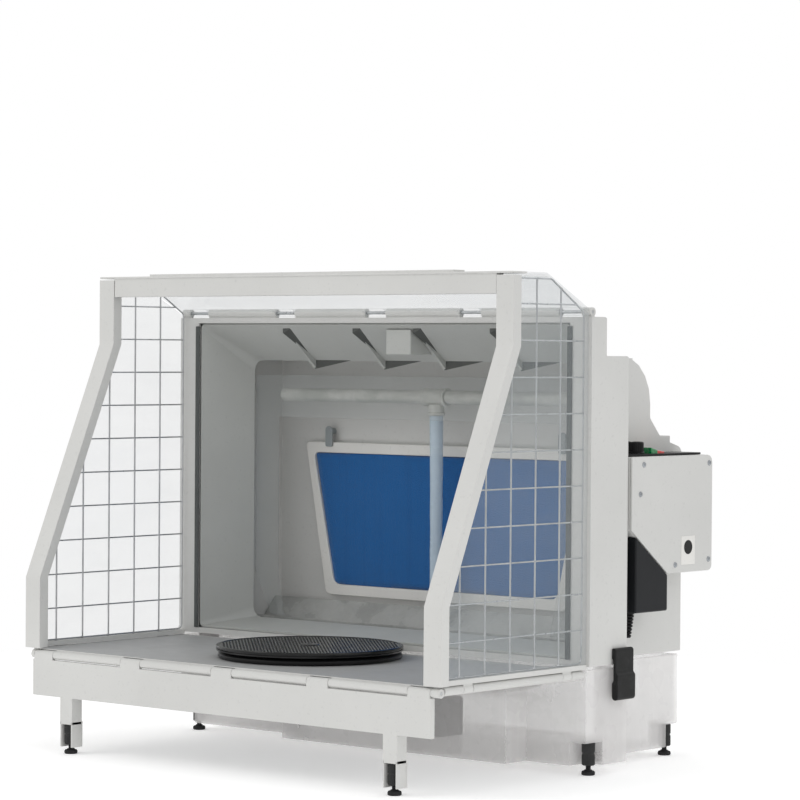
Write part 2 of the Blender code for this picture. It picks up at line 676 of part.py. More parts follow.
def make_tank():
    """Open-topped tank, T-shaped from above, with a nose in front and a notch over each foot."""
    wide, narrow = HALF - 0.004, HOUSING_HALF - 0.002
    blocks = [((-wide, wide), (0.0, STEP_DEPTH), TANK_TOP),
              ((-narrow, narrow), (STEP_DEPTH - 0.02, HOUSING_BACK - 0.002), TANK_TOP),
              ((NOSE_LEFT, NOSE_RIGHT), (-TANK_NOSE, 0.02), FLOOR_BASE - 0.001)]
    tank = box("water_tank", *blocks[0][:2], (TANK_BASE, TANK_TOP), MILKY)
    join(tank, *[box(f"tank_block_{i}", x, y, (TANK_BASE, top)) for i, (x, y, top) in enumerate(blocks[1:])])
    for index, (x, y, _) in enumerate(blocks):
        cut(tank, box(f"tank_hollow_{index}", (x[0] + TANK_WALL, x[1] - TANK_WALL),
                      (y[0] + TANK_WALL, y[1] - TANK_WALL), (TANK_BASE + TANK_WALL, TANK_TOP + 0.01)))
    reach = WHEEL_RADIUS + 0.0032
    bosses, notches = [], []
    for name, (x, y, top) in FEET.items():
        if name.startswith("leg"):
            continue
        side = 1 if x > 0 else -1
        outer = wide if y < STEP_DEPTH else narrow
        inner = abs(x) - reach
        depth = (-0.05, y + reach) if y < STEP_DEPTH else (y - reach, HOUSING_BACK + 0.05)
        kept = (0.0, y + reach + TANK_WALL)
        if y > STEP_DEPTH:
            kept = (y - reach - TANK_WALL, HOUSING_BACK - 0.002)
        bosses.append(box(f"boss_{name}", span(side, inner - TANK_WALL, outer), kept,
                          (TANK_BASE, SEAT_HEIGHT + TANK_WALL)))
        notches.append(box(f"notch_{name}", span(side, inner, outer + 0.05), depth,
                           (TANK_BASE - 0.05, SEAT_HEIGHT)))

    def lug(side, word):
        bosses.append(box(f"latch_lug_{word}", span(side, wide - 0.001, HALF - RUNNING),
                          (LATCH_FRONT + 0.010, LATCH_FRONT + LATCH_WIDTH - 0.010), (0.0790, 0.0890)))

    both_sides(lug)
    join(tank, *bosses)
    cut(tank, *notches)


def make_feet():
    """Each levelling foot is a thumbwheel held under its seat and the foot that it screws down."""
    for name, (x, y, top) in FEET.items():
        high = top - RUNNING
        bore_radius = STUD_RADIUS + RUNNING / 2
        turned(f"thumbwheel_{name}", [(WHEEL_RADIUS - 0.0008, high), (WHEEL_RADIUS, high - 0.0008),
                                      (WHEEL_RADIUS, WHEEL_BASE + 0.0008), (WHEEL_RADIUS - 0.0008, WHEEL_BASE),
                                      (bore_radius, WHEEL_BASE), (bore_radius, high)],
               (x, y, 0), (0, 0, 1), RUBBER, sides=20)
        turned(f"foot_{name}", [(0.0, 0.030), (STUD_RADIUS, 0.030), (STUD_RADIUS, PAD_THICK + 0.001),
                                (PAD_RADIUS - 0.001, PAD_THICK), (PAD_RADIUS, PAD_THICK - 0.0015),
                                (PAD_RADIUS, 0.0), (0.0, 0.0)],
               (x, y, 0), (0, 0, 1), RUBBER, sides=20)


# ---- floor, leg panel, sides and roof ----
def make_floor():
    side_edge = SIDE_AXIS[0] - 0.001
    floor = box("floor_panel", (-side_edge, side_edge), (LEG_AXIS[0] + 0.001, -0.0015),
                (FLOOR_BASE, FLOOR_TOP), FLOOR_GREY)
    leg_tube = hinge_tube("floor_front_tube", "X", LEG_AXIS, *LEG_PIN_RANGE)
    join(floor, leg_tube)
    cuts = hinge_cuts("floor_front", "X", LEG_AXIS, widened(KNUCKLES_X, RUNNING), (-HALF - 0.01, HALF + 0.01))
    for side, word in ((-1, "left"), (1, "right")):
        centre = (side * SIDE_AXIS[0], SIDE_AXIS[1])
        join(floor, hinge_tube(f"floor_tube_{word}", "Y", centre, *SIDE_PIN_RANGE))
        cuts += hinge_cuts(f"floor_{word}", "Y", centre, widened(KNUCKLES_Y, RUNNING),
                           (SIDE_PIN_RANGE[0] - 0.002, SIDE_PIN_RANGE[1] + 0.02))
    cut(floor, *cuts)
    rod("leg_hinge_pin", along("X", LEG_PIN_RANGE[0], LEG_AXIS), along("X", LEG_PIN_RANGE[1], LEG_AXIS),
        HINGE_PIN, STEEL, sides=10)
    rod("roof_hinge_pin", along("X", ROOF_PIN_RANGE[0], ROOF_AXIS), along("X", ROOF_PIN_RANGE[1], ROOF_AXIS),
        HINGE_PIN, STEEL, sides=10)
    for side, word in ((-1, "left"), (1, "right")):
        centre = (side * SIDE_AXIS[0], SIDE_AXIS[1])
        rod(f"side_hinge_pin_{word}", along("Y", SIDE_PIN_RANGE[0], centre),
            along("Y", SIDE_PIN_RANGE[1], centre), HINGE_PIN, STEEL, sides=10)


def make_leg_panel():
    y_front = -FRONT_REACH
    y_back = LEG_AXIS[0] + 0.001
    top = LEG_AXIS[1] - HINGE_RADIUS - RUNNING
    base = top - LEG_PANEL_DEPTH
    half = SIDE_AXIS[0] - HINGE_RADIUS - 2 * RUNNING
    panel = box("leg_panel", (-half, half), (y_front, y_back), (base, top), SHELL_GREY)
    adds = []
    for index, (low, high) in enumerate(KNUCKLES_X):
        adds.append(hinge_tube(f"leg_knuckle_{index}", "X", LEG_AXIS, low, high))
        adds.append(box(f"leg_tab_{index}", (low, high), (y_front, y_back - 0.0015),
                        (top - 0.004, LEG_AXIS[1])))
    for side, word in ((-1, "left"), (1, "right")):
        centre = side * LEG_SPREAD
        adds.append(box(f"leg_{word}", (centre - LEG_WIDTH / 2, centre + LEG_WIDTH / 2),
                        (y_front, y_front + 0.0145), (LEG_END, base + 0.006)))
    join(panel, *adds)
    tools = [bore("leg_panel", "X", LEG_AXIS, (-HALF - 0.01, HALF + 0.01))]
    for name in ("leg_left", "leg_right"):
        x, y, _ = FEET[name]
        tools.append(rod(f"stud_hole_{name}", (x, y, LEG_END - 0.01), (x, y, 0.060),
                         STUD_RADIUS + RUNNING, sides=12))
    cut(panel, *tools)
    centre = (0, *LEG_AXIS)
    pivot(panel, centre)
    for step in panel.modifiers:
        pivot(step.object, centre)


def post_outline(shift):
    """Side view of the front edge of a side panel, moved back by shift."""
    return [(-FRONT_REACH + shift, POST_BEND_LOW), (-TOP_REACH + shift, POST_BEND_HIGH)]


ROOF_SLOPE = (ROOF_EDGE - ROOF_START[1] + SHEET) / (ROOF_START[0] + ROOF_FLAT)


def roof_under(y):
    """Height of the roof's underside at a depth."""
    return ROOF_EDGE if y < -ROOF_FLAT else ROOF_EDGE - ROOF_SLOPE * (y + ROOF_FLAT)


def edge_depth(z, shift):
    """Depth of the post's back edge at a height."""
    share = (z - POST_BEND_LOW) / (POST_BEND_HIGH - POST_BEND_LOW)
    share = min(max(share, 0), 1)
    return -FRONT_REACH + shift + share * (FRONT_REACH - TOP_REACH)


def make_side(side, word):
    base = FLOOR_TOP + 0.0005
    low, high = post_outline(0)
    back_low, back_high = post_outline(POST_DEPTH)
    post = slab(f"side_post_{word}", [[
        (low[0], base), (back_low[0], base), back_low, back_high, (back_high[0], POST_TOP),
        (high[0], POST_TOP), high, low]], "YZ", *span(side, HALF - POST_WIDTH, HALF), SHELL_GREY)
    rail = box(f"side_rail_{word}", span(side, HALF - 0.0105, HALF - 0.0020), (back_low[0] - 0.002, -0.002),
               (base, base + 0.005))
    centre = (side * SIDE_AXIS[0], SIDE_AXIS[1])
    adds = [rail]
    for index, (start, end) in enumerate(KNUCKLES_Y):
        adds.append(hinge_tube(f"side_knuckle_{word}_{index}", "Y", centre, start, end))
        adds.append(box(f"side_tab_{word}_{index}", (centre[0] - 0.0030, centre[0] + 0.0030), (start, end),
                        (centre[1], base + 0.003)))
    join(post, *adds)
    cut(post, bore(f"side_{word}", "Y", centre, (-FRONT_REACH + 0.012, 0.02)))
    origin = (centre[0], -FRONT_REACH / 2, centre[1])
    rail_top = base + 0.005 + TOUCH
    gap = POST_DEPTH + TOUCH
    under = 0.0022
    rear = -0.0020
    sheet = slab(f"side_sheet_{word}", [[
        (edge_depth(rail_top, gap), rail_top), (rear, rail_top), (rear, roof_under(rear) - under),
        (-ROOF_FLAT, ROOF_EDGE - under), (edge_depth(POST_TOP, gap), ROOF_EDGE - under),
        (edge_depth(POST_TOP, gap), POST_BEND_HIGH), (edge_depth(POST_BEND_LOW, gap), POST_BEND_LOW)]],
        "YZ", *span(side, HALF - 0.0042, HALF - 0.0042 + SHEET), CLEAR)
    mesh = make_wires(side, word, rail_top, gap, under, rear)
    for part in (post, sheet, mesh):
        pivot(part, origin)
        for step in part.modifiers:
            pivot(step.object, origin)


def make_wires(side, word, rail_top, gap, under, rear):
    """Welded wire grid: a border wire, uprights and rows, joined where they cross."""
    inner, outer = HALF - 0.0085, HALF - 0.0085 + WIRE
    bars = []

    def bar(start, end, slim=0.0):
        """A square wire between two (y, z) points."""
        start, end = Vector(start), Vector(end)
        run = end - start
        sideways = Vector((-run.y, run.x)).normalized() * (WIRE / 2 - slim)
        outline = [start - sideways, end - sideways, end + sideways, start + sideways]
        bars.append(slab(f"wire_{word}_{len(bars)}", [outline], "YZ", *span(side, inner + slim, outer - slim)))

    front = gap + WIRE / 2 + 0.0002
    base = rail_top + WIRE / 2
    border = [
        (rear - WIRE, base), (rear - WIRE, roof_under(rear) - under - WIRE),
        (-ROOF_FLAT, ROOF_EDGE - under - WIRE), (edge_depth(POST_TOP, front), ROOF_EDGE - under - WIRE),
        (edge_depth(POST_TOP, front), POST_BEND_HIGH), (edge_depth(POST_BEND_LOW, front), POST_BEND_LOW),
        (edge_depth(base, front), base)]
    frame = slab(f"side_mesh_{word}", [border_ring(border, WIRE / 2), border_ring(border, -WIRE / 2)],
                 "YZ", *span(side, inner, outer), STEEL)
    place = rear - WIRE - WIRE_PITCH_Y * 0.95
    while place > edge_depth(base, front) + 0.010:
        top = ROOF_EDGE - under - WIRE if place < -ROOF_FLAT else roof_under(place) - under - WIRE
        reach = (FRONT_REACH - TOP_REACH)
        if place < edge_depth(POST_TOP, front):
            share = (place - edge_depth(base, front)) / reach
            top = POST_BEND_LOW + share * (POST_BEND_HIGH - POST_BEND_LOW)
        bar((place, base), (place, top), 0.00015)
        place -= WIRE_PITCH_Y
    row = base + WIRE_PITCH_Z * 0.93
    while row < ROOF_EDGE - 0.012:
        back = rear - WIRE
        if row > roof_under(rear) - under - WIRE:
            back = -ROOF_FLAT + (ROOF_EDGE - under - WIRE - row) / ROOF_SLOPE
        bar((edge_depth(row, front), row), (back, row), 0.00025)
        row += WIRE_PITCH_Z
    join(frame, *bars)
    return frame


def border_ring(points, grow):
    """The closed outline moved outwards by grow, keeping its corners mitred."""
    moved = []
    count = len(points)
    for index in range(count):
        here = Vector(points[index])
        before = (here - Vector(points[index - 1])).normalized()
        after = (Vector(points[(index + 1) % count]) - here).normalized()
        normal = (Vector((before.y, -before.x)) + Vector((after.y, -after.x))).normalized()
        stretch = normal.dot(Vector((before.y, -before.x)))
        moved.append(here + normal * grow / stretch)
    return moved


def make_roof():
    lift = SHEET / 2 + 0.0003
    roof = bend("roof_sheet",
                [ROOF_START, (-ROOF_FLAT, ROOF_EDGE + lift), (-TOP_REACH + 0.0225, ROOF_EDGE + lift)],
                (-HALF + 0.002, HALF - 0.002), SHEET, CLEAR)
    for index, (low, high) in enumerate(KNUCKLES_X):
        join(roof, hinge_tube(f"roof_knuckle_{index}", "X", ROOF_AXIS, low, high))
        join(roof, box(f"roof_tab_{index}", (low, high), (ROOF_START[0] - 0.0030, ROOF_AXIS[0]),
                       (ROOF_AXIS[1] + 0.0005, ROOF_AXIS[1] + HINGE_RADIUS - 0.0003)))
    cut(roof, bore("roof", "X", ROOF_AXIS, (-HALF - 0.01, HALF + 0.01)))
    half_bar = HALF - POST_WIDTH - RUNNING
    bar = box("roof_bar", (-HALF + 0.001, HALF - 0.001), (-TOP_REACH - 0.0008, -TOP_REACH + 0.0220),
              (ROOF_EDGE, ROOF_EDGE + 0.0020), SHELL_GREY)
    lower = box("roof_bar_lower", (-half_bar, half_bar), (-TOP_REACH + 0.0006, -TOP_REACH + 0.0120),
                (ROOF_EDGE - 0.0200, ROOF_EDGE + 0.0010))
    ridge = box("roof_bar_ridge", (-HALF + 0.077, HALF - 0.077), (-TOP_REACH + 0.0002, -TOP_REACH + 0.0180),
                (ROOF_EDGE + 0.0010, ROOF_EDGE + 0.0042))
    join(bar, lower, ridge)
    centre = (0, *ROOF_AXIS)
    pivot(roof, centre)
    pivot(bar, centre)
    for step in list(roof.modifiers) + list(bar.modifiers):
        if step.type == "BOOLEAN":
            pivot(step.object, centre)


# ---- electrics and small pieces ----
def make_control_box():
    """Box beside the rear housing: switches on top, and the adapter under its cut corner."""
    outline = rounded([
        (BOX_FRONT, BOX_CUT_Z, 0), (BOX_CUT_Y, BOX_BASE, 0), (BOX_BACK, BOX_BASE, 0.006),
        (BOX_BACK, BOX_TOP, 0.008), (BOX_FRONT, BOX_TOP, 0)])
    inner = HOUSING_HALF + TOUCH
    cover = 0.003
    body = slab("control_box", [outline], "YZ", inner, HALF - cover - TOUCH, SHELL_GREY)
    pocket = rounded([
        (BOX_FRONT + WALL, BOX_CUT_Z + 0.002, 0), (BOX_CUT_Y + 0.001, BOX_BASE + WALL, 0),
        (BOX_BACK - WALL, BOX_BASE + WALL, 0.004), (BOX_BACK - WALL, BOX_TOP - WALL, 0.006),
        (BOX_FRONT + WALL, BOX_TOP - WALL, 0)])
    well = box("rocker_well", (SWITCH_MIDDLE - 0.0085, SWITCH_MIDDLE + 0.0085),
               (ROCKER_PLACE - ROCKER_HALF - 0.0012, ROCKER_PLACE + ROCKER_HALF + 0.0012),
               (BOX_TOP - 0.01, SWITCH_TOP + 0.01))
    cut(body, slab("control_pocket", [pocket], "YZ", inner + WALL, HALF + 0.01), well)
    slab("control_cover", [outline], "YZ", HALF - cover, HALF, SHELL_GREY)
    plate = box("switch_plate", (SWITCH_MIDDLE - 0.0155, SWITCH_MIDDLE + 0.0155),
                (BOX_FRONT + 0.001, 0.2000), (BOX_TOP + TOUCH, SWITCH_TOP), BLACK)
    cut(plate, well)
    knob = rod("speed_knob", (SWITCH_MIDDLE, KNOB_PLACE, SWITCH_TOP + RUNNING),
               (SWITCH_MIDDLE, KNOB_PLACE, SWITCH_TOP + 0.0125), 0.0098, BLACK,
               end_radius=0.0090, sides=28)
    pivot(knob, (SWITCH_MIDDLE, KNOB_PLACE, SWITCH_TOP))
    near, far = ROCKER_PLACE - ROCKER_HALF, ROCKER_PLACE + ROCKER_HALF
    rocker_base = BOX_TOP + 0.0010
    rocker = slab("rocker_switch", [[
        (near, rocker_base), (far, rocker_base), (far, SWITCH_TOP + 0.0016),
        (ROCKER_PLACE, SWITCH_TOP + 0.0030), (near, SWITCH_TOP + 0.0062)]],
        "YZ", SWITCH_MIDDLE - 0.0075, SWITCH_MIDDLE + 0.0075, ROCKER_GREEN)
    pivot(rocker, (SWITCH_MIDDLE, ROCKER_PLACE, rocker_base))
    adapter_back = BOX_CUT_Y + 0.0005
    slope = (BOX_CUT_Z - BOX_BASE) / (BOX_CUT_Y - BOX_FRONT)
    front = BOX_FRONT + 0.0080
    drop = 0.0012
    slab("power_adapter", [rounded([
        (front, ADAPTER_BASE, 0.002), (adapter_back, ADAPTER_BASE, 0.002),
        (adapter_back, BOX_BASE - drop, 0),
        (front, BOX_CUT_Z - slope * 0.008 - drop, 0)])], "YZ", HOUSING_HALF + 0.003, HALF - 0.0005, BLACK)
    turned("strain_relief", [(0.0, 0.026), (0.0026, 0.026), (0.0058, 0.003), (0.0066, 0.0), (0.0, 0.0)],
           ((HOUSING_HALF + HALF) / 2 + 0.004, front + 0.0085, ADAPTER_BASE - TOUCH), (0, 0, -1),
           BLACK, sides=18)


def make_latch(side, word):
    """Latch that turns on the tank's side, round below its pivot, and grips the cabinet above."""
    inner = HALF + TOUCH
    outer = HALF + LATCH_STANDS_OUT
    corners = [(outer, 0.1010), (outer - 0.0025, 0.1040), (outer - 0.0025, LATCH_TOP - 0.0020),
               (outer - 0.0040, LATCH_TOP), (inner, LATCH_TOP), (inner, 0.1180), (inner + 0.0018, 0.1160),
               (inner + 0.0018, 0.0950), (inner, 0.0930)]
    for step in range(7):
        angle = math.pi + math.pi * step / 6
        corners.append((LATCH_AXIS[0] + LATCH_CURVE * math.cos(angle),
                        LATCH_AXIS[1] + LATCH_CURVE * math.sin(angle)))
    outline = [(side * x, z) for x, z in corners][::side]
    latch = slab(f"tank_latch_{word}", [outline], "XZ", LATCH_FRONT, LATCH_FRONT + LATCH_WIDTH, BLACK)
    pivot(latch, (side * LATCH_AXIS[0], LATCH_FRONT + LATCH_WIDTH / 2, LATCH_AXIS[1]))


def make_turntable():
    """Rotating platter on a low base with a groove between the two."""
    centre = (0, -TURNTABLE_BACK, FLOOR_TOP + TOUCH)
    half = TURNTABLE_HEIGHT / 2
    turned("turntable_base", [(0.0, half - 0.0005), (TURNTABLE_RADIUS - 0.004, half - 0.0005),
                              (TURNTABLE_RADIUS - 0.0015, half - 0.0025), (TURNTABLE_RADIUS - 0.0015, 0.0012),
                              (TURNTABLE_RADIUS - 0.003, 0.0), (0.0, 0.0)],
           centre, (0, 0, 1), GLOSS_BLACK, sides=48)
    top = TURNTABLE_HEIGHT - 0.0006
    turned("turntable_platter", [(0.0, TURNTABLE_HEIGHT), (0.007, TURNTABLE_HEIGHT), (0.008, top),
                                 (TURNTABLE_RADIUS - 0.0022, top), (TURNTABLE_RADIUS, top - 0.0019),
                                 (TURNTABLE_RADIUS, half + 0.0015), (TURNTABLE_RADIUS - 0.002, half + RUNNING),
                                 (0.0, half + RUNNING)],
           centre, (0, 0, 1), GLOSS_BLACK, sides=48)


def make_light():
    """Wedge-shaped light block that hangs from the funnel's slope beside a fin."""
    front, base = 0.0065, MOUTH_TOP + 0.0033
    slab("funnel_light", [[(front, base), (0.0500, base), (front, SHELL_TOP - 0.0125)]], "YZ",
         RIB_PLACES[2] - 0.0370, RIB_PLACES[2] - 0.0026, FRAME_WHITE)


# ---- exhaust hose, standing behind the booth ----
HOSE_EXIT = SPIGOT_END + TOUCH + 0.052
HOSE_ROUTE = [
    (FAN_X, HOSE_EXIT, FAN_HEIGHT), (FAN_X, HOSE_EXIT + 0.030, FAN_HEIGHT),
    (FAN_X, 0.362, 0.220), (-0.124, 0.420, 0.168), (-0.148, 0.482, 0.110),
    (-0.196, 0.528, 0.068), (-0.262, 0.542, 0.0515), (-0.326, 0.516, 0.0505), (-0.368, 0.460, 0.0505),
    (-0.388, 0.396, 0.0505), (-0.424, 0.340, 0.0505), (-0.484, 0.312, 0.0505), (-0.546, 0.326, 0.0505),
    (-0.592, 0.370, 0.0505), (-0.610, 0.430, 0.0505),
]


def make_hose():
    route = [Vector(HOSE_ROUTE[0])] + through(HOSE_ROUTE[1:], 29)
    tube("exhaust_hose", route, HOSE_RADIUS, HOSE_GREY, 2)
    flange = 0.067
    turned("hose_coupling", [(flange, 0.0), (DUCT_RADIUS, 0.0), (DUCT_RADIUS, 0.0515), (0.0500, 0.0515),
                             (0.0515, 0.028), (0.0580, 0.0055), (flange, 0.0045)],
           (FAN_X, SPIGOT_END + TOUCH, FAN_HEIGHT), (0, 1, 0), HOSE_GREY, sides=32)
    turned("hose_clamp", [(0.0538, 0.010), (0.0538, 0.0), (0.0522, 0.0), (0.0522, 0.010)],
           (FAN_X, HOSE_EXIT - 0.016, FAN_HEIGHT), (0, 1, 0), STEEL, sides=32)
    last, before = route[-1], route[-2]
    heading = (last - before).normalized()
    heading.z = 0
    heading.normalize()
    across = Vector((-heading.y, heading.x, 0))
    start = last + heading * TOUCH
    # a loft from the round hose end to the flat mouth
    sections = ((0.0, 0.0500, 0.0500, 0.0505, 2.0), (0.030, 0.0500, 0.0500, 0.0505, 2.0),
                (0.085, 0.070, 0.034, 0.0350, 2.6), (0.140, 0.1040, 0.0150, 0.0156, 7.0),
                (0.185, 0.1080, 0.0150, 0.0155, 8.0))
    bm = bmesh.new()
    rings = []
    sides = 24
    for forward, wide, tall, height, power in sections:
        ring = []
        for index in range(sides):
            angle = 2 * math.pi * (index + 0.5) / sides
            c, s = math.cos(angle), math.sin(angle)
            stretch = (abs(c) ** power + abs(s) ** power) ** (-1 / power)
            place = start + heading * forward + across * (wide * c * stretch)
            ring.append(bm.verts.new((place.x, place.y, height + tall * s * stretch)))
        rings.append(ring)
    for near, far in zip(rings, rings[1:]):
        for index in range(sides):
            after = (index + 1) % sides
            bm.faces.new((near[index], near[after], far[after], far[index]))
    bm.faces.new(rings[0])
    bm.faces.new(rings[-1][::-1])
    nozzle = add("flat_nozzle", mesh_from(bm, "flat_nozzle"), HOSE_GREY)
    slot_width, divider = 0.0630, 0.0030
    turn = (Matrix.Translation(start + heading * 0.185 + Vector((0, 0, 0.0155 - start.z)))
            @ Matrix.Rotation(math.atan2(heading.y, heading.x), 4, "Z"))
    for index in (-1, 0, 1):
        middle = index * (slot_width + divider)
        slot = box(f"nozzle_slot_{index + 1}", (-0.030, 0.050),
                   (middle - slot_width / 2, middle + slot_width / 2), (-0.0118, 0.0118))
        slot.data.transform(turn)
        cut(nozzle, slot)


make_shell()
make_housing()
make_funnel()
make_wet_side()
make_filter()
make_blower()
make_tank()
make_feet()
make_floor()
make_leg_panel()
both_sides(make_side)
make_roof()
make_control_box()
both_sides(make_latch)
make_turntable()
make_light()
make_hose()
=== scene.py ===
import json
import math

import bmesh
import bpy
import numpy as np
from mathutils import Matrix, Vector

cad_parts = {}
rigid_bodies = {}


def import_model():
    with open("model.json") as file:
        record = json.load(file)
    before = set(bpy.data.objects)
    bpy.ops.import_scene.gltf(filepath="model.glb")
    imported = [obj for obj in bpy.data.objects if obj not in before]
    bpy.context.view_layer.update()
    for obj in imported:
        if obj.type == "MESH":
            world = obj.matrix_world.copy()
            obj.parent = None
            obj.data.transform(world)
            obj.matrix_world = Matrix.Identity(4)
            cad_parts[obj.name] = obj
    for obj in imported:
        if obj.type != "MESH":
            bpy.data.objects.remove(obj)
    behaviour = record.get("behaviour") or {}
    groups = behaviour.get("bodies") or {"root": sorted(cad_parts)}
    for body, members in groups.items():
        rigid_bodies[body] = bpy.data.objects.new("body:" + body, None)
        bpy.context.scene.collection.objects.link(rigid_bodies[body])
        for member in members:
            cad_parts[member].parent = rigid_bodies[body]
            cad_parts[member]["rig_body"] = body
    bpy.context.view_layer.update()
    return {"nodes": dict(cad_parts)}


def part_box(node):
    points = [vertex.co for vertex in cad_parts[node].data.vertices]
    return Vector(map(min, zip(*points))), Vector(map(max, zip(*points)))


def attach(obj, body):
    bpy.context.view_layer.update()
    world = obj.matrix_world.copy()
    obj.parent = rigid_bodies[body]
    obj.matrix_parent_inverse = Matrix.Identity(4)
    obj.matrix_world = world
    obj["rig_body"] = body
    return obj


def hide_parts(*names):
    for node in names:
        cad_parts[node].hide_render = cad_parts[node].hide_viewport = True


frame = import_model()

scene = bpy.context.scene
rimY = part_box("cabinet_shell")[0].y  # plane of the cabinet's front rim
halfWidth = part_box("cabinet_shell")[1].x
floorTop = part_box("floor_panel")[1].z
print("frame loaded")


# camera, light and floor
camera = {"place": (2.1629, -2.48375, 0.4255), "azimuth": 40.547, "dip": 0.835, "roll": 0.413, "lens": 138.83}
studio = {"sky": 0.74, "backdrop": 1.0, "floor": 0.93, "glow": 0.32, "floorSize": 1.1}
lamps = {
    "keyLamp": {"place": (-1.6, -2.4, 2.6), "size": 1.6, "power": 20, "tint": (1.0, 0.99, 0.97)},
    "sideLamp": {"place": (2.8, -0.6, 1.7), "size": 1.2, "power": 7, "tint": (0.97, 0.985, 1.0)},
    "backLamp": {"place": (0.4, 2.4, 2.2), "size": 1.4, "power": 9, "tint": (1.0, 1.0, 1.0)},
}


def makeCamera():
    turn, dip, roll = (math.radians(camera[k]) for k in ("azimuth", "dip", "roll"))
    ahead = Vector((-math.sin(turn) * math.cos(dip), math.cos(turn) * math.cos(dip), -math.sin(dip)))
    level = Vector((math.cos(turn), math.sin(turn), 0))
    lift = level.cross(ahead)
    right = level * math.cos(roll) + lift * math.sin(roll)
    up = lift * math.cos(roll) - level * math.sin(roll)
    data = bpy.data.cameras.new("boothCamera")
    data.lens, data.sensor_width = camera["lens"], 36
    data.clip_start, data.clip_end = 0.05, 200
    made = bpy.data.objects.new("boothCamera", data)
    scene.collection.objects.link(made)
    place = Matrix((right, up, -ahead)).transposed().to_4x4()
    place.translation = Vector(camera["place"])
    made.matrix_world = place
    scene.camera = made


def makeStudio():
    world = bpy.data.worlds.new("softRoom")
    world.use_nodes = True
    tree = world.node_tree
    backing = tree.nodes["Background"]
    backing.inputs["Color"].default_value = (1, 1, 1, 1)
    # the camera sees plain white, and the piece is lit by a softer sky
    rays = tree.nodes.new("ShaderNodeLightPath")
    level = tree.nodes.new("ShaderNodeMapRange")
    level.inputs["To Min"].default_value = studio["sky"]
    level.inputs["To Max"].default_value = studio["backdrop"]
    tree.links.new(rays.outputs["Is Camera Ray"], level.inputs["Value"])
    tree.links.new(level.outputs["Result"], backing.inputs["Strength"])
    scene.world = world
    for name, lamp in lamps.items():
        data = bpy.data.lights.new(name, "AREA")
        data.size, data.energy, data.color = lamp["size"], lamp["power"], lamp["tint"]
        made = bpy.data.objects.new(name, data)
        scene.collection.objects.link(made)
        made.location = lamp["place"]
        aim = Vector((0, 0, 0.25)) - Vector(lamp["place"])
        made.rotation_euler = aim.to_track_quat("-Z", "Y").to_euler()
    size = studio["floorSize"]
    mesh = bpy.data.meshes.new("paleFloor")
    mesh.from_pydata([(-size, -size, 0), (size, -size, 0), (size, size, 0), (-size, size, 0)], [], [(0, 1,
            2, 3)])
    floor = bpy.data.objects.new("paleFloor", mesh)
    scene.collection.objects.link(floor)
    paint = bpy.data.materials.new("paleFloorPaint")
    paint.use_nodes = True
    shader = paint.node_tree.nodes["Principled BSDF"]
    shader.inputs["Base Color"].default_value = (studio["floor"],) * 3 + (1,)
    shader.inputs["Roughness"].default_value = 0.9
    shader.inputs["Specular IOR Level"].default_value = 0.1
    shader.inputs["Emission Color"].default_value = (1, 1, 1, 1)
    shader.inputs["Emission Strength"].default_value = studio["glow"]
    mesh.materials.append(paint)
    scene.view_settings.view_transform = "Standard"


makeCamera()
makeStudio()
print("camera and studio ready")


